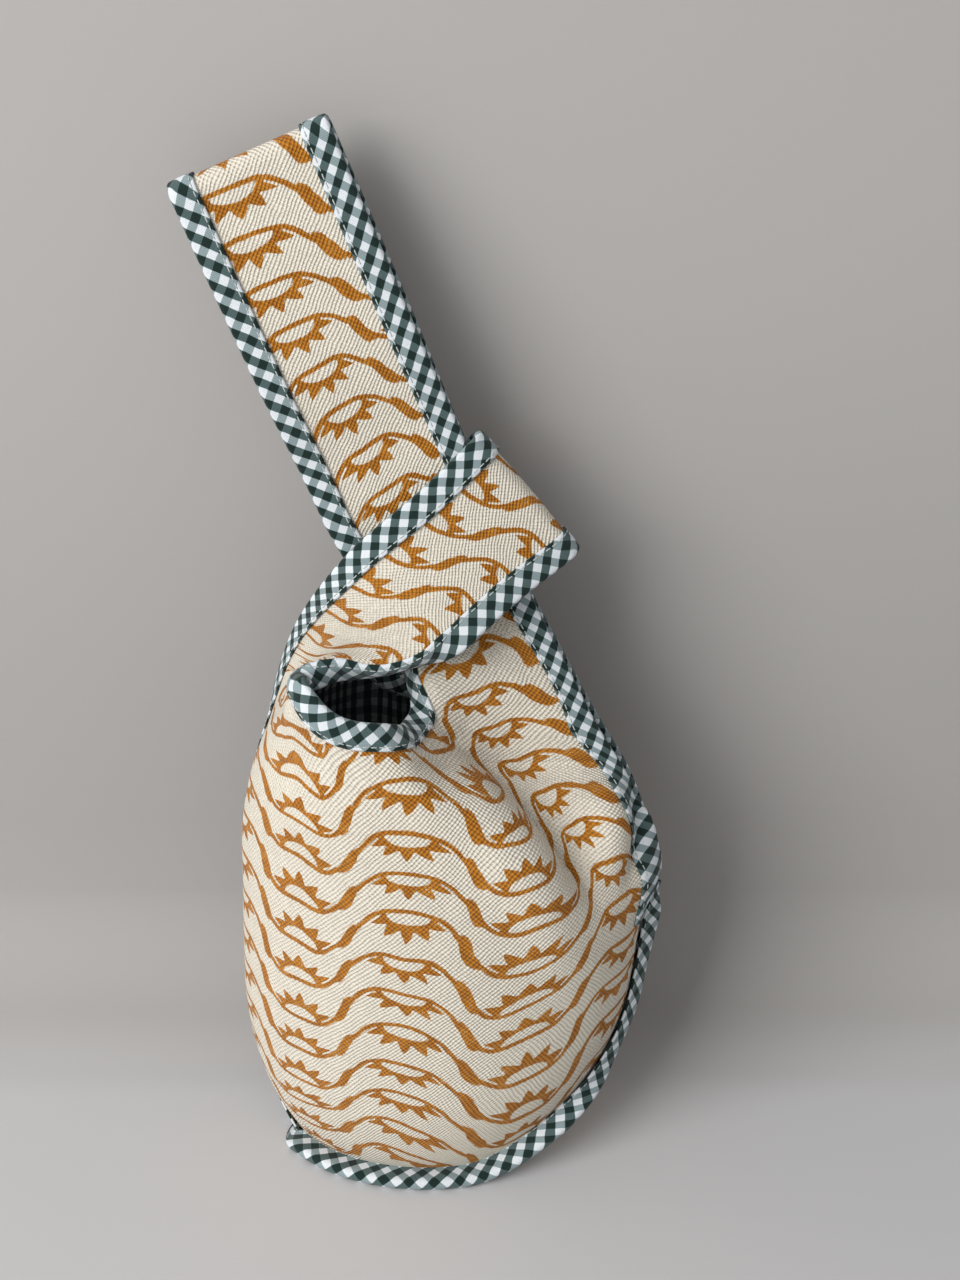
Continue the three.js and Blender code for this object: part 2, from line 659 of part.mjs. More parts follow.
const bag = new THREE.Group();
bag.name = 'knot_bag';
function piece(name, geometry, look) {
  const mesh = new THREE.Mesh(geometry, new THREE.MeshStandardMaterial(look));
  mesh.name = name;
  bag.add(mesh);
}

const column = (strips, c) => strips.map((s) => s[c]);
const cellsBetween = (edge, beside) => edge.slice(1).map((_, k) => [edge[k], beside[k], beside[k + 1], edge[k + 1]]);

// Cells in the order that the sheet's own cells have, so that both split alike.
function ownCells(sheet, wanted) {
  const key = (c) => [...c].sort((a, b) => a - b).join(' ');
  const keys = new Set(wanted.map(key));
  return sheet.cells.filter((c) => keys.has(key(c)));
}

const panels = { front: panel(false), back: panel(true) };
for (const [name, p] of Object.entries(panels)) {
  const { sheet, ids, short, long } = p;
  piece(`canvas_${name}`, layer(sheet, canvasIn, canvasOut), canvasLook);
  piece(`lining_${name}`, layer(sheet, liningIn, liningOut), liningLook);

  const inner = strapColumns - 1;
  const right = lastColumn - inner;
  const neckEdge = [
    ...column(short, inner).reverse(),
    ...ids[topRow].slice(inner + 1, right),
    ...column(long, 0),
  ];
  const neckCells = ownCells(sheet, [
    ...cellsBetween(column(short, inner), column(short, inner - 1)),
    ...cellsBetween(ids[topRow].slice(inner - 1, right + 2), ids[topRow - 1].slice(inner - 1, right + 2)),
    ...cellsBetween(column(long, 0), column(long, 1)),
  ]);
  piece(`binding_neck_${name}`, tape(sheet, neckCells, neckEdge), tapeLook);

  const sides = [
    ['short', [...ids.slice(seamRow).map((r) => r[0]), ...column(short, 0).slice(1)],
      [...ids.slice(seamRow).map((r) => r[1]), ...column(short, 1).slice(1)]],
    ['long', [...ids.slice(seamRow).map((r) => r[lastColumn]), ...column(long, inner).slice(1)],
      [...ids.slice(seamRow).map((r) => r[lastColumn - 1]), ...column(long, inner - 1).slice(1)]],
  ];
  for (const [which, edge, beside] of sides) {
    const rise = sheet.points[edge[1]].distanceTo(sheet.points[edge[0]]);
    const trims = Object.fromEntries([edge, beside].map((l) => [l[0], { to: l[1], share: armholeStart / rise }]));
    piece(`binding_${which}_${name}`, tape(sheet, ownCells(sheet, cellsBetween(edge, beside)), edge, trims), tapeLook);
  }
}

// The binding of the side and bottom seam, over the flanges of both panels.
{
  const { front, back } = panels;
  const n = front.tipIds.length;
  const cells = [];
  for (let k = 1; k < n; k += 1) cells.push([k - 1, n + k - 1, n + k, k]);
  const idOf = (p, k) => (k < n ? p.lineIds[k] : p.tipIds[k - n]);
  const onPanel = (p, k, offset) => {
    const at = p.sheet.at(idOf(p, k), offset);
    return k < n ? at.lerp(p.sheet.at(p.tipIds[k], offset), seamRoom / bindingWidth) : at;
  };
  const place = (k, leaf) => (leaf < 2
    ? onPanel(front, k, [tapeOuterOut, tapeOuterIn][leaf])
    : onPanel(back, k, [tapeOuterIn, tapeOuterOut][leaf - 2]));
  const past = (k) => outwards(front.line[k - n]);
  piece('binding_seam', fold(cells, (a, b) => a >= n && b >= n, place, past), tapeLook);
}

const handles = { front: handleHalf(false), back: handleHalf(true) };
for (const [name, { sheet, strips }] of Object.entries(handles)) {
  piece(`handle_canvas_${name}`, layer(sheet, canvasIn, canvasOut), canvasLook);
  piece(`handle_lining_${name}`, layer(sheet, liningIn, liningOut), liningLook);
  const inner = strapColumns - 1;
  for (const [which, edge, beside] of [['neck', 0, 1], ['outer', inner, inner - 1]]) {
    const cells = ownCells(sheet, cellsBetween(column(strips, edge), column(strips, beside)));
    piece(`handle_binding_${which}_${name}`, tape(sheet, cells, column(strips, edge)), tapeLook);
  }
}

export default bag;
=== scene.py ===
# %% [markdown]
# # A Japanese knot bag
# This lesson dresses a small cloth bag. It has a front and a back panel, each cut in one with half of
# a long strap and half of a short one, like a sleeveless top that is sewn shut at the hem. The long
# strap is drawn through the short one, which closes the mouth and leaves a loop for the wrist.
# The solid model is loaded first: it gives the place, the size and the hinge of the handle.

# %% The solid model
import bpy
import math
import numpy as np
from mathutils.bvhtree import BVHTree
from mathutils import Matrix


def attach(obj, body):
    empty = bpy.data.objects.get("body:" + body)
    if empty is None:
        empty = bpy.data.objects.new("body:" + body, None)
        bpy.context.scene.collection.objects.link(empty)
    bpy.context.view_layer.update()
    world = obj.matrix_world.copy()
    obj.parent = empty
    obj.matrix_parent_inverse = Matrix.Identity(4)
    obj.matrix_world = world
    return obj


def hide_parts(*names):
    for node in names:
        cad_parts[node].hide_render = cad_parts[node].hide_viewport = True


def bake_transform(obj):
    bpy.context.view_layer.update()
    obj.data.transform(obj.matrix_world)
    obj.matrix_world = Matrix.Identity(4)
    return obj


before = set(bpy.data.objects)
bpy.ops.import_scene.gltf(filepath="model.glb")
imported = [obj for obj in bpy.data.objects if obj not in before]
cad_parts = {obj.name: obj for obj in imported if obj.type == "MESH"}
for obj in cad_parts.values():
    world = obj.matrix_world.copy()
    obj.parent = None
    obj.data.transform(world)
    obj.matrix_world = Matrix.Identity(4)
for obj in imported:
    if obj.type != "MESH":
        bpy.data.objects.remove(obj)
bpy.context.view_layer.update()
MM = 0.001

# %% [markdown]
# ## The camera
# The bag was photographed from half a metre away and a little above its handle, looking down by 21
# degrees, in an upright frame of 960 by 1280 points. A lens of 42 mm on a 36 mm sensor gives that view.

# %% The camera
camera = bpy.data.objects.new("camera", bpy.data.cameras.new("camera"))
bpy.context.scene.collection.objects.link(camera)
camera.data.sensor_width = 36
camera.data.lens = 42.19
camera.location = (0.016, -0.5368, 0.4221)
camera.rotation_euler = (math.radians(90 - 21), 0, 0)
bpy.context.scene.camera = camera
print("camera with a", round(camera.data.lens, 2), "mm lens at", np.round(camera.location, 3).tolist())

# %% [markdown]
# ## Sizes
# All sizes are in millimetres and are those of the solid model: the cloth's layers, the straps, and
# the sack that the filled bag makes. Points are moved to metres only when a mesh is made.

# %% Sizes of the bag
TAPE, STRAP, NECK, INSET, CORNER = 9.0, 58.0, 56.0, 20.0, 60.0
HALF_W, HALF_D, SHOULDER, SEAM_TOP = 80.0, 58.0, 200.0, 116.0
HANDLE, LEAN, LOOP_HALF = 118.0, math.radians(22.5), 6.2
CANVAS, LINING, TAPE_THICK, GAP = 0.8, 0.4, 0.7, 0.3
CANVAS_OUT = GAP / 2 + CANVAS
TAPE_OUT = CANVAS_OUT + GAP + TAPE_THICK
TAPE_IN = GAP / 2 + LINING + GAP + TAPE_THICK
SEAM_HALF = GAP / 2 + GAP / 2 + LINING
PRESSED = GAP / 2 + TAPE_IN
BUNDLE = PRESSED + TAPE_OUT
KNOT = BUNDLE + GAP + TAPE_IN
FLOOR = CANVAS_OUT
SEAM_Z = GAP / 2 + TAPE_OUT + SEAM_HALF
PANEL = NECK / 2 + STRAP + INSET
HINGE = np.array([-18.0, 0.0, 284.6])
ACROSS = np.array([math.cos(LEAN), 0, math.sin(LEAN)])
UP = np.array([-math.sin(LEAN), 0, math.cos(LEAN)])

# The sack: height as a share of the shoulder, then shares of half width, half depth and shift.
SACK = np.array([
    [0, 0.7, 0.75, -0.07], [0.05, 0.765, 0.82, -0.08], [0.125, 0.855, 0.915, -0.07],
    [0.265, 0.965, 0.99, -0.035], [0.435, 1, 1, -0.005], [0.58, 0.99, 0.98, 0],
    [0.74, 0.97, 0.93, -0.005], [0.88, 0.86, 0.82, -0.05], [1, 0.72, 0.7, -0.09]])
# Stations of the straps: centre as shares of half width, half depth and shoulder, layer of the knot,
# the way across (three numbers) and the width as a share of the strap.
SHORT_FRONT = [
    [-0.725, -0.138, 0.975, 0, -0.28, 0.871, -0.404, 1.072],
    [-0.55, -0.138, 1.051, 0, -0.466, 0.88, 0.095, 0.966],
    [-0.275, -0.305, 1.14, 0, -0.75, 0.54, 0.38, 0.96],
    [-0.08, -0.205, 1.212, -1, -0.722, 0.29, 0.63, 0.92],
    [0.125, -0.125, 1.28, -1, -0.679, 0.16, 0.717, 0.884],
    [0.362, 0, 1.365, -1, -0.669, 0, 0.743, 0.897]]
SHORT_BACK = [
    [-0.575, 0.655, 0.905, 0, -0.886, -0.394, -0.246, 0.677],
    [-0.412, 0.578, 1.04, 0, -0.989, -0.118, -0.094, 0.708],
    [-0.175, 0.388, 1.145, 0, -0.817, -0.225, 0.531, 0.816],
    [0.125, 0.125, 1.28, 1, -0.679, -0.16, 0.717, 0.884],
    [0.362, 0, 1.365, 1, -0.669, 0, 0.743, 0.897]]
LONG_FRONT = [
    [0.383, -0.328, 0.92, 0, 0.929, 0.326, -0.178, 1.125],
    [0.275, -0.178, 1.022, -1, 0.973, 0.227, -0.049, 1.028],
    [0.125, -0.087, 1.13, -1, 0.991, 0.117, 0.071, 0.942],
    [-0.056, -0.016, 1.268, -1, 0.975, 0.007, 0.222, 0.974]]
LONG_BACK = [
    [0.438, 0.431, 0.89, 0, 0.924, -0.376, -0.068, 0.974],
    [0.306, 0.238, 1.008, 1, 0.97, -0.238, 0.055, 0.911],
    [0.144, 0.114, 1.125, 1, 0.984, -0.137, 0.111, 0.897],
    [-0.056, 0.021, 1.268, 1, 0.975, -0.01, 0.222, 0.974]]
# Marks of the neckline between the straps, in the same shares.
NECK_FRONT = [[-0.520, -0.720, 1.022], [-0.322, -0.745, 0.996], [-0.145, -0.680, 0.985]]
NECK_BACK = [[-0.230, 0.800, 0.893], [-0.125, 0.776, 0.880], [-0.015, 0.710, 0.884]]
BACK_ROWS = [0, 0.13, 0.27, 0.42, 0.55, 0.66, 0.76, 0.87, 0.96, 1]
MIDDLE_ROWS = [0, 0.060, 0.160, 0.290, 0.435, 0.580, 0.700, 0.830]
SIDE_ROWS = [0.5, 0.667, 0.833, 1]
NECK_PULL = [0.10, 0.42, 0.90, 1]
TOP_ROW, SEAM_ROW, LAST = 9, 5, 14
FINE = 10
print("sack", 2 * HALF_W, "by", 2 * HALF_D, "mm, shoulders", SHOULDER, "mm high, handle", HANDLE, "mm")

# %% [markdown]
# ## The shape of a panel
# On a real bag the panels are flat and the filling makes them round. A cloth simulation could drape
# them, but it wouldn't settle into the folds of one photographed bag. So each panel is a net of points
# that lies on the round sack. Its rows run from side seam to side seam and its columns from the hem up
# and on into the straps. A coarse net is worked out first, and curves through its points make a fine
# one, as a draughtsman bends a spline through marks.

# %% Helpers for curves
def ease(a, b, t):
    """Rises smoothly from 0 at a to 1 at b."""
    s = np.clip((np.asarray(t, float) - a) / (b - a), 0, 1)
    return s * s * (3 - 2 * s)


def unit(v):
    """The same way, with a length of 1."""
    return v / np.maximum(np.linalg.norm(v, axis=-1, keepdims=True), 1e-9)


def reached(line):
    """How long a line of points is up to each of them."""
    return np.concatenate([[0], np.cumsum(np.linalg.norm(np.diff(line, axis=0), axis=-1), 0)])


def through(points, knots, at):
    """A smooth curve through rows of points, read at any knot values."""
    points, knots, at = (np.asarray(v, float) for v in (points, knots, at))
    shape = (-1,) + (1,) * (points.ndim - 1)
    step = np.diff(knots)
    rise = np.diff(points, axis=0) / step.reshape(shape)
    slope = np.empty_like(points)
    w = (step[1:] / (step[1:] + step[:-1])).reshape(shape)
    slope[1:-1] = rise[:-1] * w + rise[1:] * (1 - w)
    slope[0], slope[-1] = 1.5 * rise[0] - 0.5 * slope[1], 1.5 * rise[-1] - 0.5 * slope[-2]
    k = np.clip(np.searchsorted(knots, at, side="right") - 1, 0, len(step) - 1)
    h = step[k].reshape(shape)
    s = (at - knots[k]).reshape(shape) / h
    return ((1 + 2 * s) * (1 - s) ** 2 * points[k] + s * (1 - s) ** 2 * h * slope[k]
            + s * s * (3 - 2 * s) * points[k + 1] + s * s * (s - 1) * h * slope[k + 1])


def knots_of(points):
    """Mean distances along the first direction of a net, summed."""
    gaps = np.linalg.norm(np.diff(points, axis=0), axis=-1)
    return np.concatenate([[0], np.cumsum(gaps.reshape(len(gaps), -1).mean(1))])


def fine(points, n):
    """The same net with n steps for each step along its first direction."""
    knots = knots_of(points)
    at = np.interp(np.arange((len(points) - 1) * n + 1) / n, np.arange(len(points)), knots)
    return through(points, knots, at)


print("half way from 0 to 1:", ease(0, 1, 0.5))

# %% [markdown]
# The filled sack is an oval at every height. Its half width, half depth and sideways shift come from
# the table, so a place on its wall needs only two numbers: how far round it is, and how high.

# %% The sack
SACK_AT = np.linspace(0, 1, 401)
SACK_SIZES = through(SACK[:, 1:], SACK[:, 0], SACK_AT)


def level(z):
    """Half width, half depth and sideways shift of the sack at a height."""
    h = np.asarray(z, float) / SHOULDER
    return [np.interp(h, SACK_AT, sizes) * size
            for sizes, size in zip(SACK_SIZES.T, (HALF_W, HALF_D, HALF_W))]


def wall(q, z, back):
    """A point of the sack's wall: q runs from the left seam at -1 to the right seam at 1."""
    a, b, shift = level(z)
    swing = 1 - float(ease(0, 0.5, z / SHOULDER))
    start = math.radians(-211 + 16 * swing) + (2 * math.pi if back else 0)
    stop = math.radians(-8 - 24 * swing)
    t = np.linspace(start, stop, 97)
    mid = (t[1:] + t[:-1]) / 2
    sums = np.concatenate([[0], np.cumsum(np.hypot(a * np.sin(mid), b * np.cos(mid)))])
    turn = np.interp((q + 1) / 2 * sums[-1], sums, t)
    return np.array([shift + a * math.cos(turn), b * math.sin(turn), z])


print("sack at half height", [round(float(v), 1) for v in level(SHOULDER / 2)])

# %% [markdown]
# On the flat panel the columns of the net follow the cuts of the cloth: five steps across each strap,
# with one as wide as the tape at either edge, and four across the neckline between the straps. The
# rows follow the rounded lower corners and the side, which narrows to the shoulder.

# %% Places on the flat cut
def strap_point(row, across, stack):
    """A point across a strap, from one row of the tables above."""
    centre = np.array([row[0] * HALF_W, row[1] * HALF_D + row[3] * stack, row[2] * SHOULDER])
    return centre + unit(np.array(row[4:7])) * (across - 0.5) * row[7] * STRAP


def across_at(column, width):
    """Where a strap's six columns lie across it: the edges, the tapes' inner edges, and two between."""
    edge = TAPE / (STRAP * width)
    return [0, edge, edge + (1 - 2 * edge) / 3, 1 - edge - (1 - 2 * edge) / 3, 1 - edge, 1][column]


def column_share(i):
    """Where a column of the net lies across the panel, from -1 to 1."""
    neck, outer = NECK / 2 / PANEL, (NECK / 2 + STRAP) / PANEL
    if i < 6:
        share = -neck - (outer - neck) * across_at(5 - i, 1)
    elif i > 8:
        share = neck + (outer - neck) * across_at(i - 9, 1)
    else:
        share = neck * ((i - 5) / 2 - 1)
    return share / outer


def side_place(row, top_z):
    """Share of the half width and height of the panel's side at each row."""
    corner, outer = CORNER / PANEL, (NECK / 2 + STRAP) / PANEL
    if row < 4:
        a = SIDE_ROWS[row] * math.pi / 2
        return 1 - corner + corner * math.sin(a), SEAM_Z + (CORNER - SEAM_Z) * (1 - math.cos(a))
    if row <= SEAM_ROW:
        return 1, CORNER + (SEAM_TOP - CORNER) * (row - 3) / 2
    rise = top_z - SEAM_TOP
    z = [SEAM_TOP + rise * 0.32, SEAM_TOP + rise * 0.64, top_z - TAPE, top_z][row - 6]
    f = (z - SEAM_TOP) / rise
    return 1 - (1 - outer) * (f + f * f) / 2, z


def hem_height(q):
    """The height of the hem: level, and rising in a quarter round to each side seam."""
    corner = CORNER / PANEL
    f = max(0, (abs(q) - (1 - corner)) / corner)
    return SEAM_Z + (CORNER - SEAM_Z) * (1 - math.sqrt(max(0, 1 - f * f)))


print("columns across the panel", [round(column_share(i), 2) for i in range(LAST + 1)])

# %% [markdown]
# The back panel starts at the hem, which lies under the front of the bag, passes under it as the
# base, and rises behind. Its points are looked for on the sack by going straight out from the heart
# of the bag, and are then evened out so that the net has no tangles.

# %% Points of the back panel
HEART = np.array([0, 0, HALF_D * 1.5])


def on_sack(p):
    """Points of the sack's wall or floor that lie the same way from its heart."""
    way = np.asarray(p, float) - HEART
    near, far = np.zeros(way.shape[:-1]), np.full(way.shape[:-1], 4.0)
    for _ in range(26):
        mid = (near + far) / 2
        at = HEART + way * mid[..., None]
        a, b, shift = level(at[..., 2])
        inside = (at[..., 2] >= FLOOR) & (((at[..., 0] - shift) / a) ** 2 + (at[..., 1] / b) ** 2 < 1)
        near, far = np.where(inside, mid, near), np.where(inside, far, mid)
    return HEART + way * near[..., None]


def flat_view(p, pole):
    """The directions of points from the heart, laid flat round a pole, and the way back."""
    e1 = unit(np.cross(pole, [1.0, 0, 0]))
    e2 = np.cross(pole, e1)
    d = unit(p - HEART)
    return np.stack([d @ e1, d @ e2], -1) / (1 + d @ pole)[..., None], e1, e2


def even_out(net, rows, passes=1500):
    """Evens the rows of a back panel's net between its borders, on the sack."""
    pole = unit(np.array([0, 0.75, -0.66]))
    f, e1, e2 = flat_view(net[:rows + 1], pole)
    for _ in range(passes):
        f[1:-1, 1:-1] = (f[:-2, 1:-1] + f[2:, 1:-1] + f[1:-1, :-2] + f[1:-1, 2:]) / 4
    r2 = (f ** 2).sum(-1, keepdims=True)
    d = (2 * (f[..., :1] * e1 + f[..., 1:] * e2) + (1 - r2) * pole) / (1 + r2)
    done = net.copy()
    done[1:rows, 1:-1] = on_sack(HEART + d * 50)[1:-1, 1:-1]
    return done

# %% [markdown]
# Both panels are made by one function. The front's places lie straight on the sack's wall and are
# pulled to the neckline and the straps' roots above it. The back's go along curves under the bag first,
# and are then put on the sack.

# %% The coarse net of a panel
def top_edge(back):
    """The panel's upper border: the short strap's root, the neckline and the long strap's root."""
    short, long = (SHORT_BACK[0], LONG_BACK[0]) if back else (SHORT_FRONT[0], LONG_FRONT[0])
    top = [strap_point(short, across_at(5 - i, short[7]), KNOT) for i in range(6)]
    top += [np.array(p) * (HALF_W, HALF_D, SHOULDER) for p in (NECK_BACK if back else NECK_FRONT)]
    return np.array(top + [strap_point(long, across_at(i, long[7]), PRESSED) for i in range(6)])


def edge(top, row, i):
    """Where the side seam's border is at a row: how far round the sack, and how high."""
    q, z = side_place(row, top[0 if i * 2 < LAST else LAST][2])
    return (-q if i * 2 < LAST else q), z


def place(top, row, i):
    """The same for any place of the net."""
    share = column_share(i)
    q, z = edge(top, row, i)
    q = abs(q) * share
    if row == 0:
        return q, hem_height(q)
    if row >= TOP_ROW - 1:
        return q, top[i][2] - (TOP_ROW - row) * TAPE
    middle = max(SEAM_Z, MIDDLE_ROWS[row] * SHOULDER)
    return q, middle + (z - middle) * abs(share) ** 3


def under_the_bag(net, top, pull):
    """The back panel's net, along curves from the hem, under the bag and up behind it."""
    hem = np.array([wall(*place(top, 0, i), False) for i in range(LAST + 1)])
    for i in range(LAST + 1):
        swell = 1 - abs(column_share(i)) ** 3
        a, d = hem[i], top[i]
        b, c = a + (d - a) / 3, a + (d - a) * 2 / 3
        b = b + (np.array([a[0], a[1] + (1.32 * HALF_D - a[1]) / 3, -0.7 * HALF_D]) - b) * swell
        c = c + (np.array([(a[0] + d[0]) / 2, 1.32 * HALF_D, 0.15 * HALF_D]) - c) * swell
        for row, t in enumerate(BACK_ROWS):
            p = a * (1 - t) ** 3 + 3 * b * t * (1 - t) ** 2 + 3 * c * t * t * (1 - t) + d * t ** 3
            net[row, i] = on_sack(p) * (1 - TAKE[row]) + p * TAKE[row]
    near = np.array([[max(0, 1 - abs(j - i) / (LAST - 1)) ** 2 for j in range(LAST + 1)]
                     for i in (0, LAST)])
    for row in range(TOP_ROW + 1):
        for k, i in enumerate((0, LAST)):
            side = wall(*edge(top, row, i), True) + pull[i] * TAKE[row]
            net[row] += (side - net[row, i]) * near[k][:, None]
    net[1:SEAM_ROW + 1] = on_sack(net[1:SEAM_ROW + 1])
    net[0] = hem
    return net


TAKE = [0] * (SEAM_ROW + 1) + NECK_PULL


def coarse_net(back):
    top = top_edge(back)
    pull = [top[i] - wall(*place(top, TOP_ROW, i), back) for i in range(LAST + 1)]
    net = np.array([[wall(*place(top, row, i), back) + pull[i] * TAKE[row] for i in range(LAST + 1)]
                    for row in range(TOP_ROW + 1)])
    if back:
        net = under_the_bag(net, top, pull)
    for i in (0, LAST):
        for row in range(SEAM_ROW + 1):
            net[row, i] = wall(*edge(top, row, i), False)
    return net


print("coarse net", coarse_net(False).shape[:2], "places")

# %% [markdown]
# Above the neckline the net goes on into both straps. Their centre lines were measured as stations, and
# a curve through the stations gives as many rows as are needed. The front net also carries each strap
# half a turn round its fold, to meet the back net there. Places with no cloth hold no number.

# %% The nets of both panels
def strap_rows(stations, shares, columns, stack):
    """Rows of a strap at shares of the way along its stations."""
    stations = np.array(stations, float)
    at = np.array(shares) * (len(stations) - 1)
    rows = through(stations, np.arange(len(stations)), at)
    return [[strap_point(row, across_at(c, row[7]), stack) for c in columns] for row in rows]


def round_fold(rows, way, radius):
    """Carries a strap on by half a turn round an edge, from the front to the back."""
    wrap = []
    for a in np.linspace(0, math.pi, 9)[1:]:
        p = rows[-1] + way * radius * math.sin(a)
        p[:, 1] = -radius * math.cos(a)
        wrap.append(p)
    return np.concatenate([rows, wrap])


def wide(rows):
    """A curve through each row, so that it has FINE steps for each column."""
    return np.swapaxes(fine(np.swapaxes(rows, 0, 1), FINE), 0, 1)


# The handle's layers: share of its height, and how far they part there; half way at the fold.
FOLD = PRESSED + (LOOP_HALF - PRESSED) * 0.55
OPENING = ((0.03, 0.01), (0.09, 0.06), (0.2, 0.48), (0.36, 0.95),
           (0.6, 1), (0.82, 0.86), (0.94, 0.6), (1, 0.55))


def whole_net(back):
    side = 1 if back else -1
    net = coarse_net(back)
    short, long = (SHORT_BACK, LONG_BACK) if back else (SHORT_FRONT, LONG_FRONT)
    body = TOP_ROW * FINE + 1

    # The short strap: on over the long one, and round its right edge.
    rows = strap_rows(short, [0.1, 0.2, 0.32, 0.44, 0.56, 0.68, 0.8, 0.9, 1], range(5, -1, -1), KNOT)
    short_fine = fine(np.concatenate([net[:, :6], rows]), FINE)[body:]
    if not back:
        onward = unit(np.array([short[-1][6], 0, -short[-1][4]]))
        short_fine = round_fold(short_fine, onward, KNOT)

    # The long strap: up to the knot and through it.
    stations = [list(r) for r in long]
    for k in (1, 2, 3):
        stations[k][3] = side
    for rise in (-12, -4):
        c = HINGE + UP * rise
        stations.append([c[0] / HALF_W, 0, c[2] / SHOULDER, side, *ACROSS, 1])
    rows = strap_rows(stations, [0.14, 0.28, 0.42, 0.56, 0.7, 0.85, 1], range(6), PRESSED)

    # The handle: the two layers part, and meet again at the fold.
    for share, open_ in OPENING:
        c = HINGE + UP * share * (HANDLE - FOLD)
        c[1] += side * (PRESSED + (LOOP_HALF - PRESSED) * open_)
        rows.append([c + ACROSS * (across_at(k, 1) - 0.5) * STRAP for k in range(6)])
    long_fine = fine(np.concatenate([net[:, 9:], rows]), FINE)[body:]
    if not back:
        long_fine = round_fold(long_fine, UP, FOLD)

    short_fine, long_fine = wide(short_fine), wide(long_fine)
    table = np.full((body + max(len(short_fine), len(long_fine)), LAST * FINE + 1, 3), np.nan)
    table[:body] = wide(fine(net, FINE))
    table[body:body + len(short_fine), :5 * FINE + 1] = short_fine
    table[body:body + len(long_fine), 9 * FINE:] = long_fine
    if back:
        table = even_out(table, (SEAM_ROW + 1) * FINE)
    return table, body - 1 + len(short_fine), body - 1 + len(long_fine)


nets = {"front": whole_net(False), "back": whole_net(True)}
for name, (table, short_end, long_end) in nets.items():
    print(name, "panel", table.shape, "short strap to row", short_end, "long strap to row", long_end)

# %% [markdown]
# The neckline of such a bag is a smooth scoop, so the sharp corners where it meets the straps are
# eased: points near them move towards the mean of their neighbours, and border points along the
# border only.

# %% Easing the corners of the neckline
N = FINE
TOP = TOP_ROW * N


def neighbours_mean(table):
    """Mean of the four neighbours that are cloth."""
    total, count = np.zeros_like(table), np.zeros(table.shape[:2])
    for axis, step in ((0, 1), (0, -1), (1, 1), (1, -1)):
        near = np.roll(table, step, axis)
        blank = [slice(None), slice(None)]
        blank[axis] = 0 if step == 1 else -1
        near[tuple(blank)] = np.nan
        ok = ~np.isnan(near[..., 0])
        total[ok] += near[ok]
        count += ok
    return total / np.maximum(count, 1)[..., None]


def neck_path(depth, short_end, long_end):
    """Rows and columns along the neckline at a number of steps in from its edge."""
    down = [(r, 5 * N - depth) for r in range(short_end, TOP, -1)]
    corner = [(TOP - depth, 5 * N - depth)]
    flat = [(TOP - depth, c) for c in range(5 * N + 1, 9 * N)]
    other = [(TOP - depth, 9 * N + depth)]
    up = [(r, 9 * N + depth) for r in range(TOP + 1, long_end + 1)]
    return np.array(down + corner + flat + other + up)


def straighten(line):
    """How far each inner point of a line is from the middle between its two neighbours."""
    pull = np.zeros_like(line)
    pull[1:-1] = (line[:-2] + line[2:]) / 2 - line[1:-1]
    return pull


def ease_neck(name, passes=40, reach=1.75):
    table, short_end, long_end = nets[name]
    border = tuple(neck_path(0, short_end, long_end).T)
    rows, cols = np.indices(table.shape[:2])
    gap = np.minimum(*[np.hypot(rows - TOP, cols - c * N) for c in (5, 9)])
    near = 1 - ease(0.3, 1, gap / (reach * N))
    inner = near.copy()
    inner[border] = 0
    for _ in range(passes):
        move = inner[..., None] * (neighbours_mean(table) - table)
        line = table[border]
        table += np.nan_to_num(move) * 0.6
        table[border] = line + straighten(line) * near[border][:, None] * 0.6


for name in nets:
    ease_neck(name)
print("corners eased at row", TOP, "columns", 5 * N, 9 * N)

# %% [markdown]
# The filled bag then gets the large forms of this one. A grab pulls the cloth round a point, as the
# Grab brush of Sculpt Mode does: the right side is wider, the band's folded end lower and its left root
# higher, and the back's neckline is drawn forward and up. The outer borders of both straps are faired
# afterwards, because they are long free curves on a real bag.

# %% Large forms
STRAPS, BODY, ALL = slice(TOP + 1, None), slice(0, TOP + 1), slice(None)


def grab(name, centre, shift, reach, where=ALL):
    table = nets[name][0]
    gap = np.linalg.norm(table[where] - np.array(centre, float), axis=-1)
    table[where] += np.nan_to_num(np.exp(-(gap / reach) ** 2))[..., None] * np.array(shift, float)


def fair_border(table, column, passes=60, run=9 * N, depth=1.25):
    """Fairs the outer border of a strap from the side seam up, and the cloth beside it with it."""
    r = np.arange(SEAM_ROW * N, len(table))
    r = r[~np.isnan(table[r, column, 0])]
    share = np.arange(len(r)) / run
    weight = ease(0, 0.15, share) * ease(0, 0.15, 1 - share)
    line = table[r, column].copy()
    for _ in range(passes):
        line += straighten(line) * weight[:, None]
    shift = line - table[r, column]
    for d in range(int(depth * N)):
        table[r, abs(column - d)] += shift * float(1 - ease(0, 1, d / depth / N))


for name in nets:
    grab(name, (62, 0, 250), (1.5, 0, -6), 26, STRAPS)
    grab(name, (84, 0, 150), (4, 0, 0), 36, BODY)
    if name == "front":
        grab(name, (-46, -34, 212), (-3, 0, 6), 22)
    else:
        grab(name, (12, 44, 177), (0, -6, 11), 30, BODY)
    ease_neck(name)
    for column in (0, LAST * N):
        fair_border(nets[name][0], column)
    print(name, "panel reaches", np.round(np.nanmax(nets[name][0], (0, 1)), 1).tolist())

# %% [markdown]
# ## The way out of the cloth
# Every layer of cloth lies a little to the outside or the inside of its net: canvas outside, lining
# inside, and the binding over both. The way out at a point is square to the two directions of the
# net there.

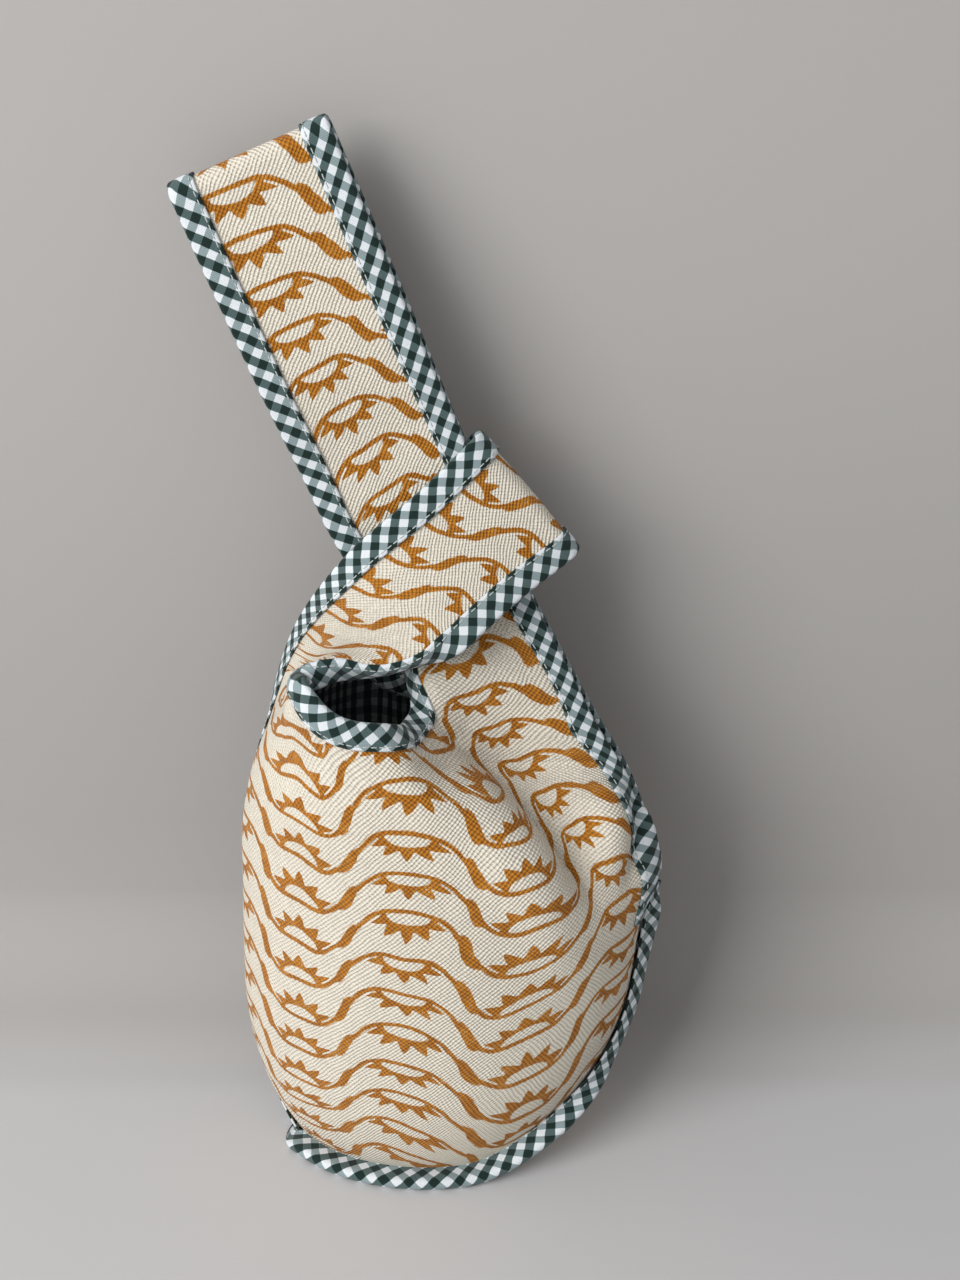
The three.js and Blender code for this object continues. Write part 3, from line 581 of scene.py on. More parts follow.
# %% The way out at each point
def outward(table):
    def slope(axis):
        ahead, behind = np.roll(table, -1, axis), np.roll(table, 1, axis)
        blank = [slice(None), slice(None)]
        blank[axis] = -1
        ahead[tuple(blank)] = np.nan
        blank[axis] = 0
        behind[tuple(blank)] = np.nan
        return np.where(np.isnan(ahead), table, ahead) - np.where(np.isnan(behind), table, behind)
    return unit(np.cross(slope(1), slope(0)))


outs = {}


def find_ways_out():
    for name in nets:
        outs[name] = outward(nets[name][0]) * (1 if name == "front" else -1)


find_ways_out()
print("ways out of", list(outs))

# %% [markdown]
# ## Rolled edges
# Two edges of the mouth are rolled inwards: the one under the knot, and the one on the long strap.
# A roll bends the outermost cloth round a small cylinder that lies along the edge. It could be
# sculpted, but as a formula it keeps the cloth's length, and so the print's and the tape's too.

# %% Rolling an edge inwards
def roll_edge(which, amount, turn, radius, steps_in):
    """Curls the neck edge of a panel inwards; amount is from 0 to 1 along the edge."""
    table, short_end, long_end = nets[which]
    depth = int(steps_in * N)
    paths = np.array([neck_path(d, short_end, long_end) for d in range(depth, -1, -1)])
    rows, cols = paths[..., 0], paths[..., 1]
    line, way = table[rows, cols], outs[which][rows[0], cols[0]]
    t = np.array([reached(line[:, k]) for k in range(line.shape[1])]).T
    side = line[-1] - line[0]
    side = unit(side - (side * way).sum(-1, keepdims=True) * way)
    angle = np.maximum(amount * math.radians(turn), 1e-6)
    bent = np.minimum(t, radius * angle)
    rest = t - bent
    forward = radius * np.sin(bent / radius) + rest * np.cos(angle) - t
    inward = radius * (1 - np.cos(bent / radius)) + rest * np.sin(angle)
    table[rows, cols] += side * forward[..., None] - way * inward[..., None]


def edge_steps(which):
    """Steps along the neck edge, in the widths of the coarse net, from its left and right corners."""
    path = neck_path(0, *nets[which][1:])
    corner = [np.where((path == c).all(1))[0][0] for c in ((TOP, 5 * N), (TOP, 9 * N))]
    at = np.arange(len(path))
    return (at - corner[0]) / N, (at - corner[1]) / N


left, right = edge_steps("front")
roll_edge("front", ease(-0.4, 1.0, right) * (1 - ease(2.4, 4.5, right)), 78, 3.5, 1.2)
roll_edge("front", ease(-5.6, -3.0, left) * (1 - ease(-0.9, 0.0, left)), 115, 2.6, 1.1)
print("rolled by 78 degrees on the right and 115 on the left")

# %% [markdown]
# The mouth's rim is then set, again with grabs: its left end and the band's edge over it go up, its
# front edge hangs a little lower, and its right end is drawn to the left, so that the rim is a round
# U. The last three pull the right armhole's lower end outwards, where the seam's tape begins.

# %% The rim and the armhole
for centre, shift, reach, rows in (
        ((-44, -34, 207), (-1.5, 0, 6.5), 11, ALL), ((-36, -43, 205), (-3.5, 0, -2), 12, BODY),
        ((-5, -22, 193), (-9.5, 0, -1.5), 17, ALL), ((-4, -8, 206), (-5, 0, 0), 9, ALL),
        ((-36, -26, 206), (0, 0, 6), 14, STRAPS), ((80, -8, 122), (6.5, 0, 0), 17, ALL),
        ((77, -8, 145), (4.5, 0, 0), 12, ALL)):
    grab("front", centre, shift, reach, rows)
grab("back", (80, -8, 122), (6.5, 0, 0), 17)
for name in nets:
    ease_neck(name, passes=30, reach=2.0)
print("front edge of the mouth at", np.round(nets["front"][0][TOP, 5 * N:9 * N:N], 1).tolist())

# %% [markdown]
# ## The valley and the belly
# From the right end of the mouth a sharp valley runs down to the right side. The cloth below it is
# the belly of the filled bag, and pushes forward; the cloth above it belongs to the long strap. Near
# the valley's end a small lobe swells in front of the side seam, with a hollow beside it. Each form
# depends on how far a point of the net lies from a line that is drawn over the cloth, as seen from
# the front. So it can be moved by its marks, which a sculpted fold can't.

# %% The valley, the belly and the lobe
def beside_line(p, marks):
    """How far along a line of marks a point lies, from 0 to 1, and how far above the line."""
    marks = np.array(marks, float)
    lengths = reached(marks)
    best = np.full(p.shape[:-1], 1e9)
    share, above = np.zeros_like(best), np.zeros_like(best)
    for k in range(len(marks) - 1):
        way = marks[k + 1] - marks[k]
        size = np.linalg.norm(way)
        d = p[..., [0, 2]] - marks[k]
        f = (d @ way) / size ** 2
        f = np.clip(f, 0 if k else -9, 1 if k < len(marks) - 2 else 9)
        off = d - f[..., None] * way
        gap = np.linalg.norm(off, axis=-1)
        here = gap < best
        best = np.where(here, gap, best)
        share = np.where(here, (lengths[k] + f * size) / lengths[-1], share)
        above = np.where(here, np.sign(off @ np.array([-way[1], way[0]])) * gap, above)
    return share, above


VALLEY = [(0, 192), (7.5, 185.5), (15, 180), (24.5, 174), (31, 168.5),
          (37, 161.5), (43, 153.5), (47.5, 146.5), (53, 137), (58, 126)]
HOLLOW = [(76, 158), (79, 143), (76, 128)]
INTO = np.array([0.30, -0.85, 0.43])
find_ways_out()
table = nets["front"][0]
share, above = beside_line(table, VALLEY)

# Only the front's right half, below the straps, takes part.
right_half = ease(5 * N, 7 * N, np.arange(table.shape[1]))[None]
takes_part = ease(0.15, 0.5, -outs["front"][..., 1]) * right_half
takes_part = takes_part * (1 - ease(TOP + 0.5 * N, TOP + 2.5 * N, np.arange(len(table))))[:, None]

# The valley is steep on the belly's side and wide on the strap's, and runs out at both ends.
below, over = np.maximum(-above, 0), np.maximum(above, 0)
steep = np.exp(-(below / (3.6 + 6.0 * (1 - ease(0, 0.30, share)))) ** 1.4)
gentle = np.exp(-(over / (20.0 - 8.0 * np.clip(share, 0, 1))) ** 2)
length = ease(-0.10, 0.14, share) * (1 - ease(0.78, 1.18, share))
valley = (10.0 + 9.0 * ease(0.05, 0.35, share)) * np.where(above < 0, steep, gentle) * length
belly = np.exp(-((below - 17) / 11) ** 2) * (above < 0)
belly = belly * ease(-0.5, 0.3, share) * (1 - ease(0.8, 1.6, share))
lobe = np.exp(-((table[..., 0] - 65) / 7.5) ** 2 - ((table[..., 2] - 145) / 13) ** 2)
beyond, off = beside_line(table, HOLLOW)
hollow = np.exp(-(off / 4.0) ** 2) * ease(-0.35, 0.2, beyond) * (1 - ease(0.8, 1.4, beyond))

forward = 4.2 * belly - valley * (1 - 0.30 * share)
move = INTO * (forward * takes_part)[..., None]
move = move + outs["front"] * ((4.0 * lobe - 4.5 * hollow) * takes_part)[..., None]
table += np.nan_to_num(move)
find_ways_out()
print("deepest place of the valley:", np.nanmax(np.linalg.norm(move, axis=-1)).round(1), "mm in")

# %% [markdown]
# ## From points to a piece
# A sheet is given to Blender as points and four-cornered faces, with a UV map that holds distances
# along the cloth. Both sides of a cloth could be drawn, but the Solidify modifier makes the second one
# at an even distance, so it gives the sheet the thickness of its cloth and closes it.

# %% A helper that makes a sheet of cloth with thickness
scene = bpy.context.scene
pieces = {}


def new_piece(name, points, faces, uv=None):
    mesh = bpy.data.meshes.new(name)
    mesh.from_pydata((np.asarray(points) * MM).tolist(), [], faces)
    if uv is not None:
        layer = mesh.uv_layers.new(name="UVMap")
        loops = np.empty(len(mesh.loops), int)
        mesh.loops.foreach_get("vertex_index", loops)
        layer.data.foreach_set("uv", np.asarray(uv, float)[loops].ravel())
    mesh.polygons.foreach_set("use_smooth", [True] * len(mesh.polygons))
    piece = bpy.data.objects.new(name, mesh)
    scene.collection.objects.link(piece)
    pieces[name] = piece
    return piece


def pick(piece):
    bpy.ops.object.select_all(action="DESELECT")
    bpy.context.view_layer.objects.active = piece
    piece.select_set(True)


def use(piece, kind, **settings):
    """Adds a modifier, sets it and applies it."""
    modifier = piece.modifiers.new(kind.title(), kind)
    for key, value in settings.items():
        setattr(modifier, key, value)
    pick(piece)
    bpy.ops.object.modifier_apply(modifier=modifier.name)
    return piece


def thicken(piece, thickness):
    return use(piece, "SOLIDIFY", thickness=thickness * MM, offset=0)

# %% [markdown]
# ## The panels and their lining
# Canvas and lining follow the same net at two offsets. The UV map gives the place on the flat panel
# in millimetres: across from its middle, and up from the top of the side seam.

# %% Places on the flat panel
def flat_places(name):
    table = nets[name][0]
    coarse = [column_share(i) for i in range(LAST + 1)]
    across = np.interp(np.arange(table.shape[1]) / N, range(LAST + 1), coarse)
    coarse = [side_place(r, SHOULDER)[0] for r in range(TOP_ROW + 1)]
    half = np.interp(np.arange(len(table)) / N, range(TOP_ROW + 1), coarse)
    flat = np.zeros(table.shape[:2] + (2,))
    flat[..., 0] = half[:, None] * across[None] * PANEL

    # Up: mean lengths of cloth, summed row by row, for the body and then for each strap.
    gap = np.linalg.norm(np.diff(table, axis=0), axis=-1)
    body = gap[:TOP].mean(1)
    for first, last in ((0, 5 * N + 1), (5 * N + 1, 9 * N), (9 * N, LAST * N + 1)):
        strap = gap[TOP:, first:last]
        count = (~np.isnan(strap)).sum(1)
        steps = np.append(body, np.nansum(strap, 1) / np.maximum(count, 1))
        rise = np.concatenate([[0], np.cumsum(steps)])
        flat[:, first:last, 1] = (rise - rise[SEAM_ROW * N])[:, None]
    return flat


flats = {name: flat_places(name) for name in nets}
print("flat panel", np.round(np.ptp(flats["front"], (0, 1))).tolist(), "mm with its straps")

# %% [markdown]
# A net becomes cloth where four neighbouring places hold points. The back's faces are turned round,
# because its outside is the other way, and Solidify needs to know which side is which.

# %% From a net to cloth


def net_faces(which):
    """Which places of a net are cloth, and its four-cornered faces."""
    ok = ~np.isnan(nets[which][0][..., 0])
    number = np.full(ok.shape, -1)
    number[ok] = np.arange(ok.sum())
    r, c = np.where(ok[:-1, :-1] & ok[1:, :-1] & ok[:-1, 1:] & ok[1:, 1:])
    faces = np.stack([number[r, c], number[r, c + 1], number[r + 1, c + 1], number[r + 1, c]], 1)
    return ok, (faces if which == "front" else faces[:, ::-1])


def cloth(name, which, offset, thickness):
    ok, faces = net_faces(which)
    points = (nets[which][0] + outs[which] * offset)[ok]
    return thicken(new_piece(name, points, faces.tolist(), flats[which][ok] * MM), thickness)

# %% [markdown]
# The two layers are made now: 0.8 mm of canvas outside and 0.4 mm of thin cotton inside, with a gap
# that keeps them apart when the handle moves.

# %% Canvas and lining
for which in nets:
    cloth("canvas_" + which + "_panel", which, GAP / 2 + CANVAS / 2, CANVAS)
    cloth("lining_" + which + "_panel", which, -GAP / 2 - LINING / 2, LINING)
print({name: len(p.data.polygons) for name, p in pieces.items()})

# %% [markdown]
# ## The bindings
# A strip of checked cotton, cut on the bias so that it bends round curves, is folded over each raw
# edge and stitched down. A bevelled curve could be swept along the edge, but it wouldn't lie on the
# cloth. So the strip is made from the cloth's own points, along an edge of both panels in one loop:
# ten steps in on the outside, round the edge, and ten steps in on the inside.

# %% Strips along an edge
def strips_of(which, paths):
    """Points and ways out of a net along several paths, the edge first."""
    table, out = nets[which][0], outs[which]
    return np.array([table[tuple(p.T)] for p in paths]), np.array([out[tuple(p.T)] for p in paths])


def square_strips(which, edge, inner):
    """The same along a curved edge: equal steps over the cloth, square to the edge."""
    ok, faces = net_faces(which)
    cloth_points, cloth_ways = nets[which][0][ok], outs[which][ok]
    tree = BVHTree.FromPolygons(cloth_points.tolist(), faces.tolist())
    at, way = nets[which][0][tuple(edge.T)], outs[which][tuple(edge.T)]
    along = unit(np.gradient(at, axis=0))
    side = unit(nets[which][0][tuple(inner.T)] - at)
    for _ in range(6):
        side = unit(side - sum((side * v).sum(-1, keepdims=True) * v for v in (along, way)))
        side[1:-1] = side[:-2] + side[2:] + 2 * side[1:-1]
    points, ways = [at], [way]
    for _ in range(N):
        found = [tree.find_nearest(p) for p in (at + unit(side) * TAPE / N).tolist()]
        ahead = np.array([f[0] for f in found])
        way = cloth_ways[faces[[f[2] for f in found]]].mean(1)
        way[1:-1] = way[:-2] + way[2:] + way[1:-1]
        way, side, at = unit(way), unit(unit(ahead - at) + side), ahead
        points.append(at)
        ways.append(way)
    return np.array(points), np.array(ways)


def joined(first, second, loop):
    """The strip along the front panel, then the one along the back the other way."""
    points = np.concatenate([first[0], second[0][:, ::-1][:, 1:]], 1)
    ways = np.concatenate([first[1], second[1][:, ::-1][:, 1:]], 1)
    n = first[0].shape[1]
    ways[:, n - 1] = first[1][:, -1] + second[1][:, -1]
    if loop:
        ways[:, 0] += ways[:, -1]
        points, ways = points[:, :-1], ways[:, :-1]
    return points, unit(ways)


print("a tape goes", TAPE, "mm in from the edge, in", N, "steps")

# %% [markdown]
# Folding the tape adds its own roundness: each leaf is a little crowned, because it is turned under at
# its edge, and a nose goes round the raw edges of the four layers.

# %% Folding a tape
def strip_piece(name, rings, across, along):
    """A sheet from rings of points, with its places across and along the tape as UV map."""
    m, n = rings.shape[:2]
    number = np.arange(m * n).reshape(m, n)
    faces = np.stack([number[:-1, :-1], number[1:, :-1], number[1:, 1:], number[:-1, 1:]], -1)
    uv = np.stack(np.broadcast_arrays(np.array(across)[:, None], along[None]), -1).reshape(-1, 2)
    return new_piece(name, rings.reshape(-1, 3), faces.reshape(-1, 4).tolist(), uv * MM)


CROWN, NOSE = 0.2, 0.95


def bind(name, points, ways, loop):
    """Folds a tape over an edge: down one side, round a nose past the edge and up the other side."""
    depth = knots_of(points)
    ahead, behind = np.roll(points[0], -1, 0), np.roll(points[0], 1, 0)
    if not loop:
        ahead[-1], behind[0] = points[0, -1], points[0, 0]
    past = points[0] - points[N // 4]
    crosswise = (ways[0], unit(ahead - behind))
    past = unit(past - sum((past * way).sum(-1, keepdims=True) * way for way in crosswise))
    out_mid, in_mid = TAPE_OUT - TAPE_THICK / 2, -TAPE_IN + TAPE_THICK / 2
    middle, reach = (out_mid + in_mid) / 2, (out_mid - in_mid) / 2
    crowns = [CROWN * math.sin(math.pi * d / N) for d in range(N + 1)]
    rings = [points[d] + ways[d] * (out_mid + crowns[d]) for d in range(N, -1, -1)]
    place = list(depth[::-1])
    for k in range(1, 6):
        a = math.pi * k / 6
        rings.append(points[0] + ways[0] * (middle + reach * math.cos(a)) + past * NOSE * math.sin(a))
        place.append(place[-1] - reach * math.pi / 6)
    for d in range(N + 1):
        rings.append(points[d] + ways[d] * (in_mid - crowns[d]))
        place.append(-2.2 * reach - depth[d])
    rings, middle_line = np.array(rings), points[N // 2]
    if loop:
        rings = np.concatenate([rings, rings[:, :1]], 1)
        middle_line = np.concatenate([middle_line, middle_line[:1]])
    piece = strip_piece(name, rings, place, reached(middle_line))
    if loop:
        use(piece, "WELD", merge_threshold=0.00001)
    print(name, round(float(reached(middle_line)[-1])), "mm long")

# %% [markdown]
# The neckline's tape is one loop, round the mouth and along both straps' inner edges. The two
# armholes' tapes start and end under the seam's tape, so they run half a step below the seam's top.

# %% The three folded bindings
def edge_path(column, end, depth):
    side = 1 if column == 0 else -1
    return np.array([(r, column + side * depth) for r in range(SEAM_ROW * N - N // 2, end + 1)])


neck = joined(*[square_strips(w, *[neck_path(d, *nets[w][1:]) for d in (0, 2)]) for w in nets], True)
bind("neck_binding", *neck, True)
sides = {}
for k, strap, column in ((1, "short", 0), (2, "long", LAST * N)):
    both = [strips_of(w, [edge_path(column, nets[w][k], d) for d in range(N + 1)]) for w in nets]
    sides[strap] = joined(*both, False)
    bind(strap + "_strap_binding", *sides[strap], False)

# %% [markdown]
# The seam that joins front and back runs down one side, under the bag and up the other side. Its raw
# edges are held by the same tape, which stands off from the sack as a small flange. At both sides the
# flange is turned to the back, and at the front it lies on the table.

# %% The binding of the side and bottom seam
def seam_line():
    run = [(r, 0) for r in range(SEAM_ROW * N, 0, -1)] + [(0, c) for c in range(LAST * N + 1)]
    run += [(r, LAST * N) for r in range(1, SEAM_ROW * N + 1)]
    line = nets["front"][0][tuple(np.array(run).T)]
    a, b, shift = level(line[:, 2])
    away = unit(np.stack([(line[:, 0] - shift) / a ** 2, line[:, 1] / b ** 2, 0 * a], 1))
    return line, away, unit(np.gradient(line, axis=0))


line, away, along = seam_line()
far = reached(line)
share = far / far[-1] * 2 - 1
to_back = unit(np.array([0, 1, 0]) - along[:, 1:2] * along)
left_lean = 82 * ease(0.10, 0.40, -share)
right_lean = 52 * ease(0.15, 0.65, share) * (1 - 0.35 * ease(0.76, 0.95, share))
lean = np.radians(np.where(share < 0, left_lean, right_lean))[:, None]
away = unit(away * np.cos(lean) + to_back * np.sin(lean))
side = np.cross(away, along)
LYING = 0.7
taper = (0.25 + 0.75 * ease(0, 20, np.minimum(far, far[-1] - far)))[:, None]
half = SEAM_HALF + TAPE_OUT - TAPE_THICK / 2
profile = [(0.8, half + 0.2), (2.5, half), (5.0, half), (7.5, half - 0.1)]
profile += [(8.2 + 2.0 * math.sin(a), (half - 0.1) * math.cos(a))
            for a in np.linspace(0.15, math.pi - 0.15, 9)]
profile += [(out, -across) for out, across in profile[3::-1]]
rings = np.array([line + away * out * taper + side * across for out, across in profile])
rings[..., 2] = np.maximum(rings[..., 2], LYING)
strip_piece("seam_binding", rings, reached(np.array(profile)), far)
print("seam_binding", round(float(far[-1])), "mm long")

# %% [markdown]
# Each tape gets its thickness like the panels. Its faces are first made to look outwards, in Edit
# Mode, so that the thickness grows the same way all round.

# %% Thickness of the tapes
for name, piece in pieces.items():
    if name.endswith("binding"):
        pick(piece)
        bpy.ops.object.mode_set(mode="EDIT")
        bpy.ops.mesh.select_all(action="SELECT")
        bpy.ops.mesh.normals_make_consistent(inside=False)
        bpy.ops.object.mode_set(mode="OBJECT")
        thicken(piece, TAPE_THICK)
        print(name, len(piece.data.polygons), "faces")

# %% [markdown]
# ## The stitches
# A machine seam holds each binding down, close to the inner edge of its leaf, on the outside and on
# the inside. One stitch is a small bead of thread. It is modelled once, and the copies are laid along
# the binding. An Array modifier on a curve could do that too, but here each stitch has to lie flat on
# the cloth, so it is turned by the way out of the cloth under it.

# %% A row of stitches
STITCH, PITCH, THREAD = 2.3, 3.0, 0.24


def one_stitch():
    """Points and faces of one stitch along X, six-sided, with drawn-in ends."""
    rings = [(-0.5, 0.25), (-0.36, 0.95), (0.0, 1.0), (0.36, 0.95), (0.5, 0.25)]
    turn = np.arange(6) * math.pi / 3
    points = [(x * STITCH, THREAD * r * math.cos(t), THREAD * r * math.sin(t))
              for x, r in rings for t in turn]
    faces = [(i * 6 + k, i * 6 + (k + 1) % 6, i * 6 + 6 + (k + 1) % 6, i * 6 + 6 + k)
             for i in range(4) for k in range(6)]
    return np.array(points), faces + [tuple(range(5, -1, -1)), tuple(range(24, 30))]


def stitch_row(name, lines):
    """Stitches along several lines of points, each given with the way out of the cloth."""
    bead, bead_faces = one_stitch()
    points, faces = [], []
    for line, way in lines:
        far = reached(line)
        for at in np.arange(PITCH, far[-1] - PITCH, PITCH):
            spot, end = ([np.interp(at + d, far, line[:, k]) for k in range(3)] for d in (0, 0.3))
            out = np.array([np.interp(at, far, way[:, k]) for k in range(3)])
            x = unit(np.array(end) - spot)
            y = unit(np.cross(out, x))
            frame_of = np.array([x, y, np.cross(x, y)])
            faces += [tuple(len(points) * len(bead) + v for v in f) for f in bead_faces]
            points.append(bead @ frame_of + spot)
    return new_piece(name, np.concatenate(points), faces)


def leaf_lines(points, ways, loop):
    """The seams on the outer and on the inner leaf, 1.4 mm in from their edge."""
    depth = N * (1 - 1.4 / TAPE)
    k = int(depth)
    line = points[k] + (points[k + 1] - points[k]) * (depth - k)
    way = ways[k]
    if loop:
        line, way = np.concatenate([line, line[:1]]), np.concatenate([way, way[:1]])
    return [(line + way * (TAPE_OUT + 0.1), way), (line - way * (TAPE_IN + 0.1), way)]


stitch_row("neck_stitches", leaf_lines(*neck, True))
for strap in sides:
    stitch_row(strap + "_strap_stitches", leaf_lines(*sides[strap], False))
seams = [(line + away * 2.0 * taper + side * turn * (half + TAPE_THICK / 2 - 0.05), side * turn)
         for turn in (1, -1)]
stitch_row("seam_stitches", seams)
print({name: len(p.data.polygons) // 26 for name, p in pieces.items() if "stitches" in name}, "stitches")

# %% [markdown]
# ## Finishes
# A finish is a network of nodes. Writing it as sums is easier to follow: a small class wraps a socket,
# so that adding or multiplying two values adds the Math node that does it. Every other node comes
# from one method that takes its type, its settings and its inputs.

# %% Writing nodes as sums
class Reading:
    """A value that changes over a surface."""

    def __init__(self, finish, node, output):
        self.finish, self.node, self.socket = finish, node, node.outputs[output]

    def out(self, output):
        return Reading(self.finish, self.node, output)

    def math(self, operation, *others):
        return self.finish.sum(operation, self, *others)

    def __add__(self, other): return self.math("ADD", other)
    def __radd__(self, other): return self.math("ADD", other)
    def __sub__(self, other): return self.math("SUBTRACT", other)
    def __rsub__(self, other): return self.finish.sum("SUBTRACT", other, self)
    def __mul__(self, other): return self.math("MULTIPLY", other)
    def __rmul__(self, other): return self.math("MULTIPLY", other)
    def __truediv__(self, other): return self.math("DIVIDE", other)


print("a reading is", Reading.__doc__.lower())

# %% [markdown]
# The finish itself holds the material and makes the nodes: a smooth step, a mix of two colours, noise,
# and the place on the cloth in millimetres. All finishes end in one Principled shader with a bump.

# %% A finish
class Finish:
    """A material, and the nodes that it is made of."""

    def __init__(self, name):
        self.material = bpy.data.materials.new(name)
        self.material.use_nodes = True
        self.tree = self.material.node_tree
        self.tree.nodes.clear()

    def node(self, kind, settings=None, inputs=None, output=0):
        made = self.tree.nodes.new(kind)
        for key, value in (settings or {}).items():
            setattr(made, key, value)
        for key, value in (inputs or {}).items():
            if isinstance(value, Reading):
                self.tree.links.new(value.socket, made.inputs[key])
            else:
                made.inputs[key].default_value = value
        return Reading(self, made, output)

    def sum(self, operation, *values):
        return self.node("ShaderNodeMath", {"operation": operation}, dict(enumerate(values)))

    def step(self, value, low, high):
        """0 below low, 1 above high, smooth between; the other way round where low is above high."""
        return self.node("ShaderNodeMapRange", {"interpolation_type": "SMOOTHSTEP"},
                         {"Value": value, "From Min": low, "From Max": high})

    def mix(self, share, first, second):
        return self.node("ShaderNodeMix", {"data_type": "RGBA"}, {0: share, 6: first, 7: second}, 2)

    def noise(self, place, scale, detail=2.0, roughness=0.5):
        return self.node("ShaderNodeTexNoise", None,
                         {"Vector": place, "Scale": scale, "Detail": detail, "Roughness": roughness})

    def cloth_place(self, u, v, w=0.0):
        return self.node("ShaderNodeCombineXYZ", None, {0: u, 1: v, 2: w})

    def number(self, name):
        """A number kept on the points of the piece."""
        return self.node("ShaderNodeAttribute", {"attribute_name": name}, output="Fac")

    def flat(self):
        """Millimetres across and along the cloth."""
        place = self.node("ShaderNodeUVMap", {"uv_map": "UVMap"})
        parts = self.node("ShaderNodeSeparateXYZ", None, {0: place})
        return parts * 1000.0, parts.out(1) * 1000.0

    def surface(self, colour, roughness, height, distance, **fixed):
        bump = self.node("ShaderNodeBump", None,
                         {"Height": height, "Distance": distance, "Strength": 1.0})
        inputs = {"Base Color": colour, "Roughness": roughness, "Normal": bump}
        inputs.update(fixed)
        shader = self.node("ShaderNodeBsdfPrincipled", None, inputs)
        out = self.tree.nodes.new("ShaderNodeOutputMaterial")
        self.tree.links.new(shader.socket, out.inputs["Surface"])
        return self.material

# %% [markdown]
# Two small helpers are shared by all the finishes: a colour as a screen shows it, turned into the light
# that shaders count in, and the ups and downs of a plain weave.

# %% Colour and weave
def colour(red, green, blue, share=1.0):
    """A colour as seen on a screen, 0 to 255, in the light values that shaders use; share darkens it."""
    return tuple(share * (c / 12.92 if c <= 0.04045 else ((c + 0.055) / 1.055) ** 2.4)
                 for c in (red / 255, green / 255, blue / 255)) + (1,)


def weave(u, v, pitch):
    """The height of a plain weave, 0 to 1: threads go over and under in turn."""
    return (u * (math.pi / pitch)).math("SINE") * (v * (math.pi / pitch)).math("SINE") * 0.5 + 0.5


print("middle grey", [round(c, 3) for c in colour(128, 128, 128)[:3]])

# %% [markdown]
# ## The block print
# The canvas is printed by hand with a wooden block in mustard on cream: rows of a running vine, which
# bends down and up once in 75 mm, with a half flower under each crest and over each trough. A UV map
# alone would run the rows straight over the panel, but on this bag they follow its folds. So two
# numbers on each point of the cloth say where it lies in the print: how far along the vines, in bends,
# and in which row. They come from marks, which are places of the net (row and column) that lie in one
# bend and in rows that follow one another, with a thin plate bent through all of them.

